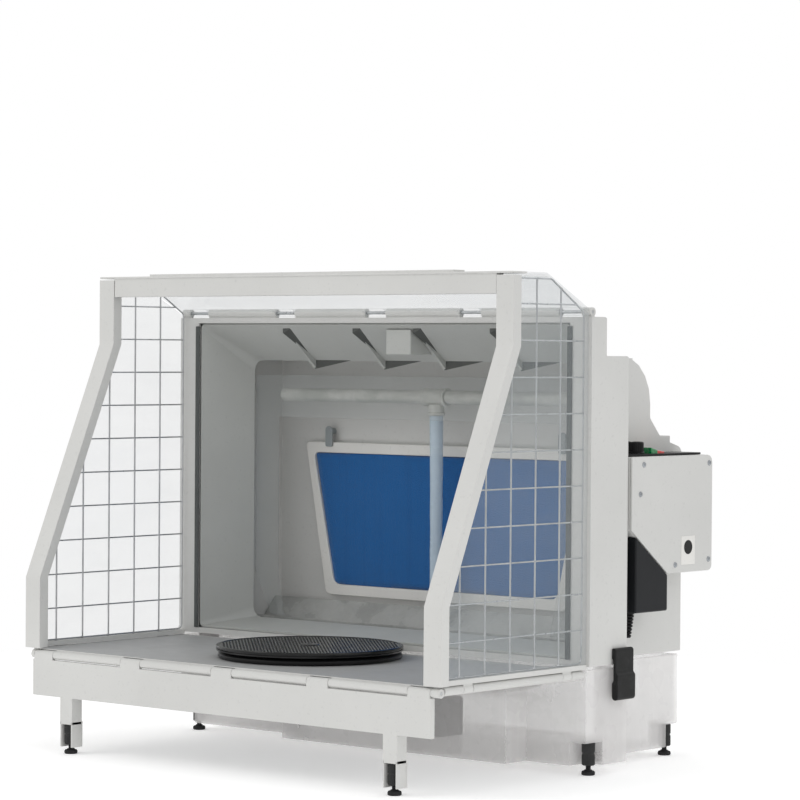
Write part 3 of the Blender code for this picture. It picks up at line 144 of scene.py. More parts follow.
# materials: every pattern reads Object coordinates
class Graph:
    # short calls for one material's nodes

    def __init__(self, name):
        self.material = bpy.data.materials.new(name)
        self.material.use_nodes = True
        self.tree = self.material.node_tree
        self.shader = self.tree.nodes["Principled BSDF"]
        self.place = self.add("ShaderNodeTexCoord").outputs["Object"]

    def add(self, kind, **values):
        node = self.tree.nodes.new(kind)
        for key, value in values.items():
            setattr(node, key, value)
        return node

    def link(self, source, target):
        self.tree.links.new(source, target)

    def stretch(self, scale):
        # Object coordinates scaled by axis
        node = self.add("ShaderNodeMapping")
        self.link(self.place, node.inputs["Vector"])
        node.inputs["Scale"].default_value = scale
        return node.outputs["Vector"]

    def noise(self, scale, detail=3.0, rough=0.5, vector=None):
        node = self.add("ShaderNodeTexNoise")
        self.link(vector or self.place, node.inputs["Vector"])
        for key, value in (("Scale", scale), ("Detail", detail), ("Roughness", rough)):
            node.inputs[key].default_value = value
        return node.outputs["Fac"]

    def cells(self, scale, vector=None, output="Distance"):
        node = self.add("ShaderNodeTexVoronoi")
        self.link(vector or self.place, node.inputs["Vector"])
        node.inputs["Scale"].default_value = scale
        return node.outputs[output]

    def span(self, source, low, high, fromLow=0.0, fromHigh=1.0):
        node = self.add("ShaderNodeMapRange")
        self.link(source, node.inputs["Value"])
        for key, value in (("From Min", fromLow), ("From Max", fromHigh), ("To Min", low), ("To Max", high)):
            node.inputs[key].default_value = value
        return node.outputs["Result"]

    def math(self, operation, first, second):
        node = self.add("ShaderNodeMath", operation=operation)
        for socket, value in zip(node.inputs, (first, second)):
            if isinstance(value, (int, float)):
                socket.default_value = value
            else:
                self.link(value, socket)
        return node.outputs["Value"]

    def mix(self, share, first, second):
        node = self.add("ShaderNodeMix", data_type="RGBA")
        self.link(share, node.inputs["Factor"])
        for socket, value in zip((node.inputs[6], node.inputs[7]), (first, second)):
            if isinstance(value, tuple):
                socket.default_value = (*value, 1)
            else:
                self.link(value, socket)
        return node.outputs[2]

    def bump(self, height, distance, strength=1.0, normal=None):
        node = self.add("ShaderNodeBump")
        self.link(height, node.inputs["Height"])
        node.inputs["Distance"].default_value = distance
        node.inputs["Strength"].default_value = strength
        if normal:
            self.link(normal, node.inputs["Normal"])
        return node.outputs["Normal"]

    def drive(self, **sources):
        # sets or links sockets of the shader, named in camelCase
        names = {"color": "Base Color", "roughness": "Roughness", "metallic": "Metallic", "normal": "Normal",
                 "alpha": "Alpha", "coat": "Coat Weight", "coatRoughness": "Coat Roughness",
                 "sheen": "Sheen Weight", "ior": "IOR", "transmission": "Transmission Weight",
                 "subsurface": "Subsurface Weight", "gloss": "Specular IOR Level"}
        for key, value in sources.items():
            socket = self.shader.inputs[names[key]]
            if isinstance(value, tuple):
                socket.default_value = (*value, 1)
            elif isinstance(value, (int, float)):
                socket.default_value = value
            else:
                self.link(value, socket)
        return self.material


def shade(color, share):
    return tuple(min(value * share, 1.0) for value in color)


def mouldedPlastic(name, color, roughness=0.42, grain=1500, depth=0.00003, drift=0.035, coat=0.0, gloss=0.5):
    # broad noise drifts the tone, dark specks of dust lie at random, fine noise makes the mould's grain
    g = Graph(name)
    tone = g.mix(g.span(g.noise(7, 4, 0.6), 0, 1, 0.3, 0.7), shade(color, 1 - drift), shade(color, 1 + drift))
    specks = g.span(g.noise(260, 2, 0.5), 0, 0.5, 0.62, 0.75)
    tone = g.mix(specks, tone, shade(color, 0.86))
    rough = g.span(g.noise(45, 3, 0.6), roughness - 0.07, roughness + 0.08, 0.25, 0.75)
    normal = g.bump(g.noise(grain, 2, 0.6), depth)
    normal = g.bump(g.noise(30, 2, 0.5), 0.00018, 1.0, normal)
    return g.drive(color=tone, roughness=rough, normal=normal, coat=coat, coatRoughness=0.25, ior=1.49,
            gloss=gloss)


def clearSheet(name, tint=(0.50, 0.55, 0.57), open_=0.05, edge=0.30, roughness=0.06):
    # nearly all see-through face on, more mirror and haze at a slant, with faint wipe marks
    g = Graph(name)
    weight = g.add("ShaderNodeLayerWeight")
    weight.inputs["Blend"].default_value = 0.32
    smear = g.noise(9, 5, 0.65, g.stretch((1.0, 1.0, 3.0)))
    haze = g.span(smear, 0.0, 0.025, 0.45, 0.75)
    alpha = g.math("ADD", g.span(weight.outputs["Facing"], open_, edge), haze)
    rough = g.span(smear, roughness - 0.02, roughness + 0.10, 0.4, 0.8)
    normal = g.bump(g.noise(4, 2, 0.4), 0.0003)
    return g.drive(color=tint, roughness=rough, alpha=alpha, normal=normal, ior=1.49, gloss=1.0)


def milkyPlastic(name, color=(0.84, 0.825, 0.82), alpha=0.24):
    # translucent moulding: cloudy tone, waxy gloss and thin vertical flow lines
    g = Graph(name)
    cloud = g.noise(11, 4, 0.55)
    flow = g.noise(5, 2, 0.5, g.stretch((26.0, 26.0, 0.8)))
    tone = g.mix(g.span(cloud, 0, 1, 0.3, 0.7), shade(color, 0.95), shade(color, 1.04))
    tone = g.mix(g.span(flow, 0, 0.35, 0.55, 0.75), tone, shade(color, 1.12))
    weight = g.add("ShaderNodeLayerWeight")
    weight.inputs["Blend"].default_value = 0.3
    see = g.math("ADD", g.span(weight.outputs["Facing"], alpha, 0.75), g.span(cloud, -0.05, 0.05))
    rough = g.span(g.noise(38, 3, 0.5), 0.2, 0.36)
    normal = g.bump(g.noise(220, 2, 0.5), 0.00006)
    return g.drive(color=tone, roughness=rough, alpha=see, normal=normal, subsurface=0.0, coat=0.2,
            coatRoughness=0.2)


def metal(name, color=(0.56, 0.57, 0.58), roughness=0.28, scratch=(400.0, 400.0, 12.0)):
    # zinc-bright metal: drawn streaks vary the gloss, faint spots dull it
    g = Graph(name)
    streak = g.noise(1.0, 4, 0.6, g.stretch(scratch))
    tone = g.mix(g.span(g.noise(60, 4, 0.6), 0, 1, 0.35, 0.7), shade(color, 0.88), shade(color, 1.08))
    rough = g.span(streak, roughness - 0.1, roughness + 0.14)
    return g.drive(color=tone, roughness=rough, metallic=1.0, normal=g.bump(streak, 0.00002))


def foam(name, color=(0.008, 0.107, 0.335)):
    # open-cell foam: pores painted dark as the shade inside the holes, among lighter cell walls, with soft
    # cloudy patches and faint cutting lines
    g = Graph(name)
    cells = g.cells(900)
    # the cells' middles are painted darker as shade in the pores
    poreShade = g.span(cells, 0, 1, 0.15, 0.55)
    cloud = g.span(g.noise(9, 5, 0.6), 0, 1, 0.3, 0.7)
    lines = g.span(g.noise(1.0, 2, 0.5, g.stretch((160.0, 3.0, 5.0))), 0, 0.4, 0.5, 0.8)
    tone = g.mix(poreShade, shade(color, 0.72), shade(color, 1.12))
    tone = g.mix(cloud, tone, shade(color, 1.05))
    tone = g.mix(lines, tone, shade(color, 0.85))
    normal = g.bump(cells, 0.0006, 0.8)
    return g.drive(color=tone, roughness=0.92, normal=normal, sheen=0.35, gloss=0.2)


def rubber(name, color=(0.018, 0.018, 0.019), roughness=0.62, grain=1100):
    # rubber or grained black plastic: greyed worn patches at random and a fine leathery grain
    g = Graph(name)
    worn = g.span(g.noise(90, 4, 0.65), 0, 0.7, 0.5, 0.85)
    tone = g.mix(worn, color, tuple(value + 0.022 for value in color))
    rough = g.span(g.noise(60, 3, 0.5), roughness - 0.1, roughness + 0.12)
    return g.drive(color=tone, roughness=rough, normal=g.bump(g.noise(grain, 2, 0.55), 0.00006), gloss=0.22)


def pipePlastic(name):
    # white pipe with a chalky deposit of dried water, thicker in patches
    g = Graph(name)
    patch = g.noise(26, 5, 0.65, g.stretch((0.6, 1.0, 1.0)))
    crust = g.span(patch, 0, 1, 0.42, 0.62)
    fine = g.noise(420, 3, 0.7)
    tone = g.mix(crust, (0.52, 0.53, 0.49), (0.76, 0.76, 0.72))
    tone = g.mix(g.span(fine, 0, 0.55, 0.5, 0.75), tone, (0.42, 0.42, 0.39))
    normal = g.bump(fine, 0.00035, 0.9, g.bump(patch, 0.0008))
    return g.drive(color=tone, roughness=g.span(crust, 0.38, 0.8), normal=normal)


def wetPlastic(name, color=(0.44, 0.445, 0.43)):
    # grey moulding with water standing on it in beads and films
    g = Graph(name)
    beads = g.cells(170, output="Distance")
    wet = g.span(g.noise(16, 4, 0.6), 0, 1, 0.4, 0.6)
    tone = g.mix(wet, color, shade(color, 0.8))
    normal = g.bump(g.span(beads, 1, 0, 0.05, 0.5), 0.0009, 0.5)
    return g.drive(color=tone, roughness=g.span(wet, 0.45, 0.14), normal=normal, coat=0.5, coatRoughness=0.08)


def rockerPlastic(name):
    # the half nearer the front is green and the other red, with a soft band between
    g = Graph(name)
    node = g.add("ShaderNodeSeparateXYZ")
    g.link(g.place, node.inputs["Vector"])
    middle = (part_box("rocker_switch")[0].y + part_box("rocker_switch")[1].y) / 2 - 0.001
    side = g.span(node.outputs["Y"], 0, 1, middle - 0.0006, middle + 0.0006)
    tone = g.mix(side, (0.0, 0.27, 0.07), (0.74, 0.04, 0.03))
    tone = g.mix(g.span(g.noise(300, 3, 0.5), 0, 0.3, 0.5, 0.8), tone, (0.5, 0.5, 0.45))
    return g.drive(color=tone, roughness=g.span(g.noise(90, 3, 0.5), 0.16, 0.3), coat=0.6, coatRoughness=0.1)


finishes = {
    "shell": mouldedPlastic("shellPlastic", (0.645, 0.645, 0.628)),
    "frame": mouldedPlastic("framePlastic", (0.66, 0.66, 0.642), 0.38),
    "funnel": mouldedPlastic("funnelPlastic", (0.50, 0.51, 0.49), 0.5, drift=0.05),
    "floor": mouldedPlastic("floorPlastic", (0.40, 0.405, 0.405), 0.5, 900, 0.00006, 0.05),
    "hose": mouldedPlastic("hosePlastic", (0.58, 0.58, 0.57), 0.36),
    "white": mouldedPlastic("whitePlastic", (0.80, 0.79, 0.76), 0.4),
    "clip": mouldedPlastic("clipPlastic", (0.30, 0.33, 0.34), 0.4),
    # a dark grey painted as the shade in the front rim's recessed groove
    "recessShade": mouldedPlastic("paintedRecessShade", (0.075, 0.082, 0.08), 0.6),
    "black": mouldedPlastic("blackPlastic", (0.007, 0.007, 0.0075), 0.34, 1300, 0.00005, gloss=0.25),
    "adapter": mouldedPlastic("adapterPlastic", (0.010, 0.011, 0.013), 0.4, 1300, 0.00005, gloss=0.22),
    "glossBlack": mouldedPlastic("glossBlack", (0.0035, 0.0035, 0.004), 0.16, 1500, 0.00001, 0.05, 0.15,
            0.35),
    # a near-black grey painted as the shade and shadow of the funnel's fins
    "shade": mouldedPlastic("shadedFin", (0.105, 0.11, 0.105), 0.6, gloss=0.2),
    "dot": mouldedPlastic("plainDot", (0.012, 0.012, 0.012), 0.5, gloss=0.3),
    "grained": rubber("grainedBlack", (0.012, 0.0122, 0.0122), 0.5),
    "rubber": rubber("footRubber"),
    "knurl": rubber("knurledRubber", (0.035, 0.036, 0.036), 0.55),
    "clear": clearSheet("clearSheet"),
    "guard": clearSheet("guardSheet", (0.40, 0.43, 0.43), 0.07, 0.5, 0.1),
    "milky": milkyPlastic("milkyPlastic"),
    "steel": metal("steelWire"),
    "screw": metal("screwSteel", (0.36, 0.38, 0.40), 0.34),
    "foam": foam("blueFoam", (0.010, 0.118, 0.36)),
    "pipe": pipePlastic("chalkyPipe"),
    "wet": wetPlastic("wetGutter"),
    "rocker": rockerPlastic("twoColourRocker"),
    "bluish": milkyPlastic("bluishHose", (0.62, 0.74, 0.84), 0.72),
}
print("materials ready:", len(finishes))


# shapes: each function returns points and faces as arrays
def ringFaces(rows, around, closeRows=False):
    # quads between neighbouring rings; the last ring meets the first when the form is a loop
    i, j = np.meshgrid(np.arange(rows - (not closeRows)), np.arange(around), indexing="ij")
    after, below = (j + 1) % around, (i + 1) % rows
    quads = np.stack([i * around + j, i * around + after, below * around + after, below * around + j], -1)
    return quads.reshape(-1, 4).tolist()


def closedForm(grid, ends="fan"):
    # grid[i, j] is step j round ring i; ends are closed by a fan about their middle, or looped together
    rows, around = grid.shape[:2]
    points = grid.reshape(-1, 3)
    faces = ringFaces(rows, around, ends == "loop")
    if ends == "fan":
        steps = np.arange(around)
        count = len(points)
        points = np.vstack([points, grid[0].mean(0), grid[-1].mean(0)])
        last = (rows - 1) * around
        faces += np.stack([np.full(around, count), (steps + 1) % around, steps], -1).tolist()
        faces += np.stack([np.full(around, count + 1), last + steps, last + (steps + 1) % around],
                -1).tolist()
    return outward(points, faces)


def outward(points, faces):
    # the signed volume of the fans tells whether the faces point in, and they are turned if so
    volume = 0.0
    for size in (3, 4):
        chosen = np.array([face for face in faces if len(face) == size])
        for k in range(1, size - 1) if len(chosen) else ():
            a, b, c = (points[chosen[:, n]] for n in (0, k, k + 1))
            volume += np.einsum("ij,ij->", a, np.cross(b, c))
    return (points, faces) if volume > 0 else (points, [face[::-1] for face in faces])


def axes(direction):
    # two directions square to the given one and to each other
    ahead = np.array(direction, float) / np.linalg.norm(direction)
    side = np.cross(ahead, (0, 0, 1) if abs(ahead[2]) < 0.9 else (0, 1, 0))
    side /= np.linalg.norm(side)
    return ahead, side, np.cross(ahead, side)


def turned(profile, centre, direction=(0, 0, 1), sides=48, ripple=None, ends="fan"):
    # a (radius, height) profile turned about a line; ripple(angle, radius, height) adds to the radius
    profile = np.array(profile, float)
    ahead, side, other = axes(direction)
    angle = np.arange(sides) * 2 * np.pi / sides
    radius = profile[:, :1] + np.zeros((1, sides))
    if ripple:
        radius = radius + ripple(angle[None, :], profile[:, :1], profile[:, 1:])
    round_ = np.cos(angle)[None, :, None] * side + np.sin(angle)[None, :, None] * other
    grid = np.array(centre) + profile[:, 1][:, None, None] * ahead + radius[:, :, None] * round_
    return closedForm(grid, ends)


def fillet(points, radius, steps=4):
    # each inner corner of a line of points becomes an arc tangent to both its sides
    points = np.array(points, float)
    out = [points[0]]
    for before, here, after in zip(points, points[1:], points[2:]):
        a, b = before - here, after - here
        lengthA, lengthB = np.linalg.norm(a), np.linalg.norm(b)
        a, b = a / lengthA, b / lengthB
        half = math.acos(np.clip(a @ b, -1, 1)) / 2
        if half > 1.55:
            out.append(here)
            continue
        reach = min(radius / math.tan(half), lengthA * 0.45, lengthB * 0.45)
        t = np.linspace(0, 1, steps + 1)[:, None]
        start, end = here + a * reach, here + b * reach
        out.extend((1 - t) ** 2 * start + 2 * t * (1 - t) * here + t**2 * end)
    out.append(points[-1])
    return np.array(out)


def carried(path, radius, sides=12, closed=False):
    # a round section carried along a path, each ring square to the run of the path there
    path = np.array(path, float)
    if closed:
        run = np.roll(path, -1, 0) - np.roll(path, 1, 0)
    else:
        run = np.gradient(path, axis=0)
    run /= np.linalg.norm(run, axis=1)[:, None]
    side = np.zeros_like(run)
    current = axes(run[0])[1]
    for index, ahead in enumerate(run):
        current = current - ahead * (current @ ahead)
        current = current / np.linalg.norm(current)
        side[index] = current
    other = np.cross(run, side)
    angle = np.arange(sides) * 2 * np.pi / sides
    radius = np.broadcast_to(np.asarray(radius, float).reshape(-1, 1), (len(path), 1)) + np.zeros((1, sides))
    grid = path[:, None] + radius[:, :, None] * (
        np.cos(angle)[None, :, None] * side[:, None] + np.sin(angle)[None, :, None] * other[:, None])
    return closedForm(grid, "loop" if closed else "fan")


def block(low, high, edge=0.001):
    # a box with rounded edges: a rounded rectangle for section, drawn in along an arc at its two ends
    low, high = np.array(low, float), np.array(high, float)
    size, middle = (high - low) / 2, (high + low) / 2
    edge = min(edge, size.min() * 0.9)
    corner = np.linspace(0, np.pi / 2, 4)
    arc = [(sx * (size[0] - edge) + edge * np.cos(corner + turn),
            sy * (size[1] - edge) + edge * np.sin(corner + turn))
           for sx, sy, turn in ((1, 1, 0), (-1, 1, np.pi / 2), (-1, -1, np.pi), (1, -1, 3 * np.pi / 2))]
    outline = np.hstack(arc).T
    levels = [(edge * (1 - math.sin(a)), -size[2] + edge * (1 - math.cos(a)))
              for a in np.linspace(0, np.pi / 2, 4)]
    levels += [(inset, -height) for inset, height in levels[::-1]]
    grid = np.array([[(*(point * (1 - inset / size[:2])), height) for point in outline]
                     for inset, height in levels])
    return closedForm(grid + middle)


def dome(centres, radius, height, sides=6):
    # many small studs at once: a low ring, a higher smaller ring and a top point for each centre
    centres = np.array(centres, float)
    angle = np.arange(sides) * 2 * np.pi / sides
    around = np.stack([np.cos(angle), np.sin(angle), np.zeros(sides)], -1)
    base = np.vstack([around * radius + (0, 0, -0.0002), around * radius * 0.75 + (0, 0, height * 0.75),
                      [(0, 0, height)], [(0, 0, -0.0002)]])
    points = (centres[:, None] + base[None]).reshape(-1, 3)
    k = np.arange(sides)
    after = (k + 1) % sides
    walls = np.stack([k, after, after + sides, k + sides], -1)
    tops = np.stack([k + sides, after + sides, np.full(sides, 2 * sides)], -1)
    floors = np.stack([after, k, np.full(sides, 2 * sides + 1)], -1)
    shift = (np.arange(len(centres)) * len(base))[:, None, None]
    faces = (walls[None] + shift).reshape(-1, 4).tolist()
    faces += (tops[None] + shift).reshape(-1, 3).tolist() + (floors[None] + shift).reshape(-1, 3).tolist()
    return points, faces


def makePiece(name, shapes, finish, body, replaces=(), sharp=38):
    # joins shapes in one piece that rides on a body
    points, faces, count = [], [], 0
    for shapePoints, shapeFaces in shapes:
        points.append(shapePoints)
        faces.extend([[index + count for index in face] for face in shapeFaces])
        count += len(shapePoints)
    mesh = bpy.data.meshes.new(name)
    mesh.from_pydata(np.vstack(points).tolist(), [], faces)
    mesh.shade_smooth()
    mesh.set_sharp_from_angle(angle=math.radians(sharp))
    mesh.materials.append(finishes[finish])
    piece = bpy.data.objects.new(name, mesh)
    scene.collection.objects.link(piece)
    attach(piece, body)
    if replaces:
        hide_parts(*replaces)
    return piece


def bodyOf(node):
    return frame["nodes"][node]["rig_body"]


def softened(node, finish, width=0.0008, steps=2, angle=32):
    # a copy of a CAD node with its flat faces made whole and its edges eased
    source = frame["nodes"][node].data
    form = bmesh.new()
    form.from_mesh(source)
    bmesh.ops.remove_doubles(form, verts=form.verts, dist=1e-6)
    bmesh.ops.dissolve_limit(form, angle_limit=math.radians(0.4), verts=form.verts, edges=form.edges)
    mesh = bpy.data.meshes.new(node + "_shape")
    form.to_mesh(mesh)
    form.free()
    mesh.shade_smooth()
    mesh.set_sharp_from_angle(angle=math.radians(50))
    mesh.materials.clear()
    mesh.materials.append(finishes[finish])
    piece = bpy.data.objects.new(node + "_shape", mesh)
    scene.collection.objects.link(piece)
    if width:
        edges = piece.modifiers.new("easedEdges", "BEVEL")
        edges.width, edges.segments = width, steps
        edges.limit_method, edges.angle_limit = "ANGLE", math.radians(angle)
        edges.miter_outer = "MITER_ARC"
    even = piece.modifiers.new("evenShading", "WEIGHTED_NORMAL")
    even.keep_sharp = True
    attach(piece, bodyOf(node))
    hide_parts(node)
    return piece


# exhaust hose, coupling, clamp and nozzle
hose = {"radius": 0.050, "pitch": 0.0118, "depth": 0.0042, "sides": 56, "samplesPerRidge": 7}
hoseRoute = [
    (-0.120, 0.2816, 0.232), (-0.120, 0.3116, 0.232), (-0.120, 0.362, 0.220), (-0.124, 0.420, 0.168),
    (-0.148, 0.482, 0.110), (-0.196, 0.528, 0.068), (-0.262, 0.542, 0.0515), (-0.326, 0.516, 0.0505),
    (-0.368, 0.460, 0.0505), (-0.388, 0.396, 0.0505), (-0.424, 0.340, 0.0505), (-0.484, 0.312, 0.0505),
    (-0.546, 0.326, 0.0505), (-0.592, 0.370, 0.0505), (-0.610, 0.430, 0.0505),
]


def smoothLine(points, spacing):
    # a curve through all the points: each stretch is a cubic whose ends follow the neighbours' chords
    points = np.array(points, float)
    points = np.vstack([2 * points[0] - points[1], points, 2 * points[-1] - points[-2]])
    t = np.linspace(0, 1, 40, endpoint=False)[:, None]
    runs = [0.5 * (2 * b + (c - a) * t + (2 * a - 5 * b + 4 * c - d) * t**2 + (3 * b - 3 * c + d - a) * t**3)
            for a, b, c, d in zip(points, points[1:], points[2:], points[3:])]
    fine = np.vstack(runs + [points[-2:-1]])
    reach = np.concatenate([[0], np.cumsum(np.linalg.norm(np.diff(fine, axis=0), axis=1))])
    even = np.linspace(0, reach[-1], max(int(round(reach[-1] / spacing)), 2) + 1)
    return np.stack([np.interp(even, reach, fine[:, k]) for k in range(3)], -1), reach[-1]


def makeHose():
    route = np.array(hoseRoute) + (0, rimY, 0)
    straight = np.linspace(route[0], route[1], 4)[:-1]
    bent, _ = smoothLine(route[1:], 0.004)
    whole = np.vstack([straight, bent])
    reach = np.concatenate([[0], np.cumsum(np.linalg.norm(np.diff(whole, axis=0), axis=1))])
    length = reach[-1]
    ridges = int(length / hose["pitch"])
    place = np.linspace(0, length, ridges * hose["samplesPerRidge"] + 1)
    path = np.stack([np.interp(place, reach, whole[:, k]) for k in range(3)], -1)
    # the radius swells to round ridges with narrow valleys between, and the folds lean and gather unevenly
    wave = np.abs(np.sin(np.pi * place / length * ridges + 0.25 * np.sin(place * 21))) ** 0.7
    plain = np.minimum(place, length - place) < 0.010
    radius = hose["radius"] - hose["depth"] * (1 - np.where(plain, 0.6, wave))
    radius = np.minimum(radius, hose["radius"])
    tube = carried(path, radius, hose["sides"])
    piece = makePiece("corrugated_hose", [tube], "hose", "cabinet", ["exhaust_hose"], 75)
    return piece, path[::5], length, whole


def makeCoupling():
    low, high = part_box("hose_coupling")
    centre = (-0.120, low.y, 0.232)
    sleeve, inner, depth = 0.0515, 0.047, 0.0515
    profile = [(inner, 0.0), (0.0665, 0.0), (0.067, 0.0006), (0.067, 0.0038), (0.0664, 0.0045), (0.0592,
            0.0050),
               (0.0568, 0.0075), (0.0545, 0.0150), (sleeve + 0.0012, 0.0260), (sleeve, 0.0340), (sleeve,
                       0.0350),
               (0.0500, 0.0360), (0.0500, depth - 0.0006), (0.0494, depth), (0.0476, depth), (inner,
                       depth - 0.0008),
               (inner, 0.0)]
    shapes = [turned(profile[:-1], centre, (0, 1, 0), 96, ends="loop")]
    for index in range(12):
        angle = 2 * np.pi * index / 12
        out = np.array((math.cos(angle), 0, math.sin(angle)))
        across = np.array((-math.sin(angle), 0, math.cos(angle)))
        corners = [(0.0505, 0.0035), (0.0655, 0.0035), (0.0655, 0.0056), (0.0520, 0.0240), (0.0505, 0.0240)]
        rings = [[np.array(centre) + out * r + across * side + (0, y, 0) for r, y in corners]
                 for side in (-0.0011, 0.0011)]
        shapes.append(closedForm(np.array(rings)))
    return makePiece("ribbed_coupling", shapes, "hose", "cabinet", ["hose_coupling"])


def makeClamp():
    low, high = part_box("hose_clamp")
    middle = np.array((-0.120, (low.y + high.y) / 2, 0.232))
    band = turned([(0.0524, -0.0045), (0.0532, -0.0045), (0.0535, -0.0040), (0.0535, 0.0040), (0.0532,
            0.0045),
                   (0.0524, 0.0045)], middle, (0, 1, 0), 96, ends="loop")
    top = middle + (0, 0, 0.0535)
    housing = block(top + (-0.0095, -0.0058, -0.0008), top + (0.0075, 0.0058, 0.0072), 0.0022)
    barrel = carried([top + (-0.0125, 0, 0.0040), top + (0.0110, 0, 0.0040)], 0.0036, 20)
    head = turned([(0.0, 0), (0.0042, 0), (0.0046, 0.0004), (0.0046, 0.0040), (0.0040, 0.0048), (0.0,
            0.0048)],
                  top + (0.0105, 0, 0.0040), (1, 0, 0), 24,
                  lambda a, r, h: -0.0005 * (r > 0.003) * (np.cos(6 * a) > 0.2))
    teeth = [block(middle + (math.sin(a) * 0.0537 - 0.0006, -0.0030, math.cos(a) * 0.0537 - 0.0003),
                   middle + (math.sin(a) * 0.0537 + 0.0006, 0.0030, math.cos(a) * 0.0537 + 0.0003), 0.0002)
             for a in np.linspace(0.24, 0.62, 9)]
    return makePiece("worm_clamp", [band, housing, barrel, head] + teeth, "steel", "cabinet",
            ["hose_clamp"])


nozzle = {"length": 0.185, "wall": 0.0024, "divider": 0.0030, "slot": 0.0630, "depth": 0.034, "around": 96}


def makeNozzle(whole):
    end, before = whole[-1], whole[-4]
    heading = (end - before) * (1, 1, 0)
    heading /= np.linalg.norm(heading)
    across = np.array((-heading[1], heading[0], 0))
    start = end + heading * 0.0003
    # forward distance, half width, half height, height of the middle and squareness at five stations
    stations = np.array([(0.0, 0.0500, 0.0500, 0.0505, 2.0), (0.030, 0.0500, 0.0500, 0.0505, 2.0),
                         (0.085, 0.0690, 0.0335, 0.0350, 2.5), (0.140, 0.1030, 0.0150, 0.0156, 6.0),
                         (nozzle["length"], 0.1075, 0.0148, 0.0155, 8.0)])
    place = np.concatenate([np.linspace(0, 0.03, 9), np.linspace(0.035, 0.185, 44)])
    t = np.interp(place, stations[:, 0], np.arange(5))
    index = np.minimum(t.astype(int), 3)
    share = t - index
    share = share * share * (3 - 2 * share)
    rows = stations[index] * (1 - share[:, None]) + stations[index + 1] * share[:, None]
    wide, tall, height, power = rows[:, 1], rows[:, 2], rows[:, 3], rows[:, 4]
    # a flat collar stands out a little before the mouth, and rings grip the hose end
    collar = 0.0016 * ((place > 0.150) & (place < 0.176))
    grip = 0.0008 * (np.sin(place * 900) > 0.3) * (place < 0.026)
    angle = (np.arange(nozzle["around"]) + 0.5) * 2 * np.pi / nozzle["around"]
    c, s = np.cos(angle)[None], np.sin(angle)[None]
    stretch = (np.abs(c) ** power[:, None] + np.abs(s) ** power[:, None]) ** (-1 / power[:, None])

    def rings(inset):
        out = (wide + collar + grip - inset)[:, None] * c * stretch
        up = height[:, None] + np.minimum(tall + collar + grip - inset, height - 0.0002)[:,
                None] * s * stretch
        level = (start + heading * place[:, None])[:, None] * (1, 1, 0)
        return level + out[:, :, None] * across + up[:, :, None] * (0, 0, 1)

    inside = rings(nozzle["wall"])[place > 0.185 - nozzle["depth"]][::-1]
    shapes = [closedForm(np.vstack([rings(0.0), inside]))]
    tip = start + heading * 0.185
    for side in (-1, 1):
        middle = side * (nozzle["slot"] + nozzle["divider"]) / 2
        rows = []
        for out in (-nozzle["divider"] / 2, nozzle["divider"] / 2):
            rows.append([tip * (1, 1, 0) + across * (middle + out) + heading * back + (0, 0, z)
                         for back, z in ((-0.033, 0.0030), (-0.0006, 0.0030), (-0.0006, 0.0280), (-0.033,
                                 0.0280))])
        shapes.append(closedForm(np.array(rows)))
        button = start + heading * 0.163 + across * side * 0.045
        shapes.append(turned([(0.0, 0), (0.0044, 0), (0.0050, 0.0005), (0.0050, 0.0012), (0.0040, 0.0016),
                (0.0, 0.0016)],
                             (button[0], button[1], 0.0308), (0, 0, 1), 24))
    return makePiece("flat_hose_nozzle", shapes, "hose", "cabinet", ["flat_nozzle"], 40)


hosePiece, hosePath, hoseLength, hoseLine = makeHose()
couplingPiece = makeCoupling()
clampPiece = makeClamp()
nozzlePiece = makeNozzle(hoseLine)
print("hose ready:", round(float(hoseLength), 3))


# turntable
turntable = {"place": (0.0, -0.0995 + rimY), "radius": 0.098, "low": 0.1166, "thick": 0.0062,
             "studPitch": 0.0047, "studRadius": 0.00115, "studHeight": 0.00045, "clear": 0.0115}


def makeTurntable():
    x, y = turntable["place"]
    r, top = turntable["radius"], turntable["thick"]
    profile = [(0.0, 0.0), (r - 0.0012, 0.0), (r, 0.0008), (r, 0.0022), (r - 0.0016, 0.0026), (r - 0.0016,
            0.0032),
               (r, 0.0036), (r, top - 0.0012), (r - 0.0004, top - 0.0004), (r - 0.0014, top), (r - 0.0032,
                       top),
               (r - 0.0036, top - 0.0005), (0.0105, top - 0.0005), (0.0100, top), (0.0088, top + 0.0003),
               (0.0030, top + 0.0003), (0.0024, top - 0.0006), (0.0, top - 0.0006)]
    disc = turned(profile, (x, y, turntable["low"]), (0, 0, 1), 144)
    pitch, reach = turntable["studPitch"], r - 0.0050
    steps = np.arange(-int(reach / pitch), int(reach / pitch) + 1) * pitch
    across, along = np.meshgrid(steps, steps)
    kept = (across**2 + along**2 < reach**2) & (across**2 + along**2 > turntable["clear"] ** 2)
    level = np.full(kept.sum(), turntable["low"] + top - 0.0005)
    centres = np.stack([across[kept] + x, along[kept] + y, level], -1)
    studs = dome(centres, turntable["studRadius"], turntable["studHeight"], 8)
    makePiece("studded_platter", [disc, studs], "glossBlack", bodyOf("turntable_platter"),
              ["turntable_platter"])


makeTurntable()
print("turntable ready")


# welded wire grids of the two sides
grid = {"wire": 0.0009, "pitchY": 0.0390, "pitchZ": 0.0364, "inner": 0.0085, "frontReach": 0.2340,
        "postDepth": 0.0123,
        "bendLow": 0.185, "bendHigh": 0.435, "rear": -0.0042}


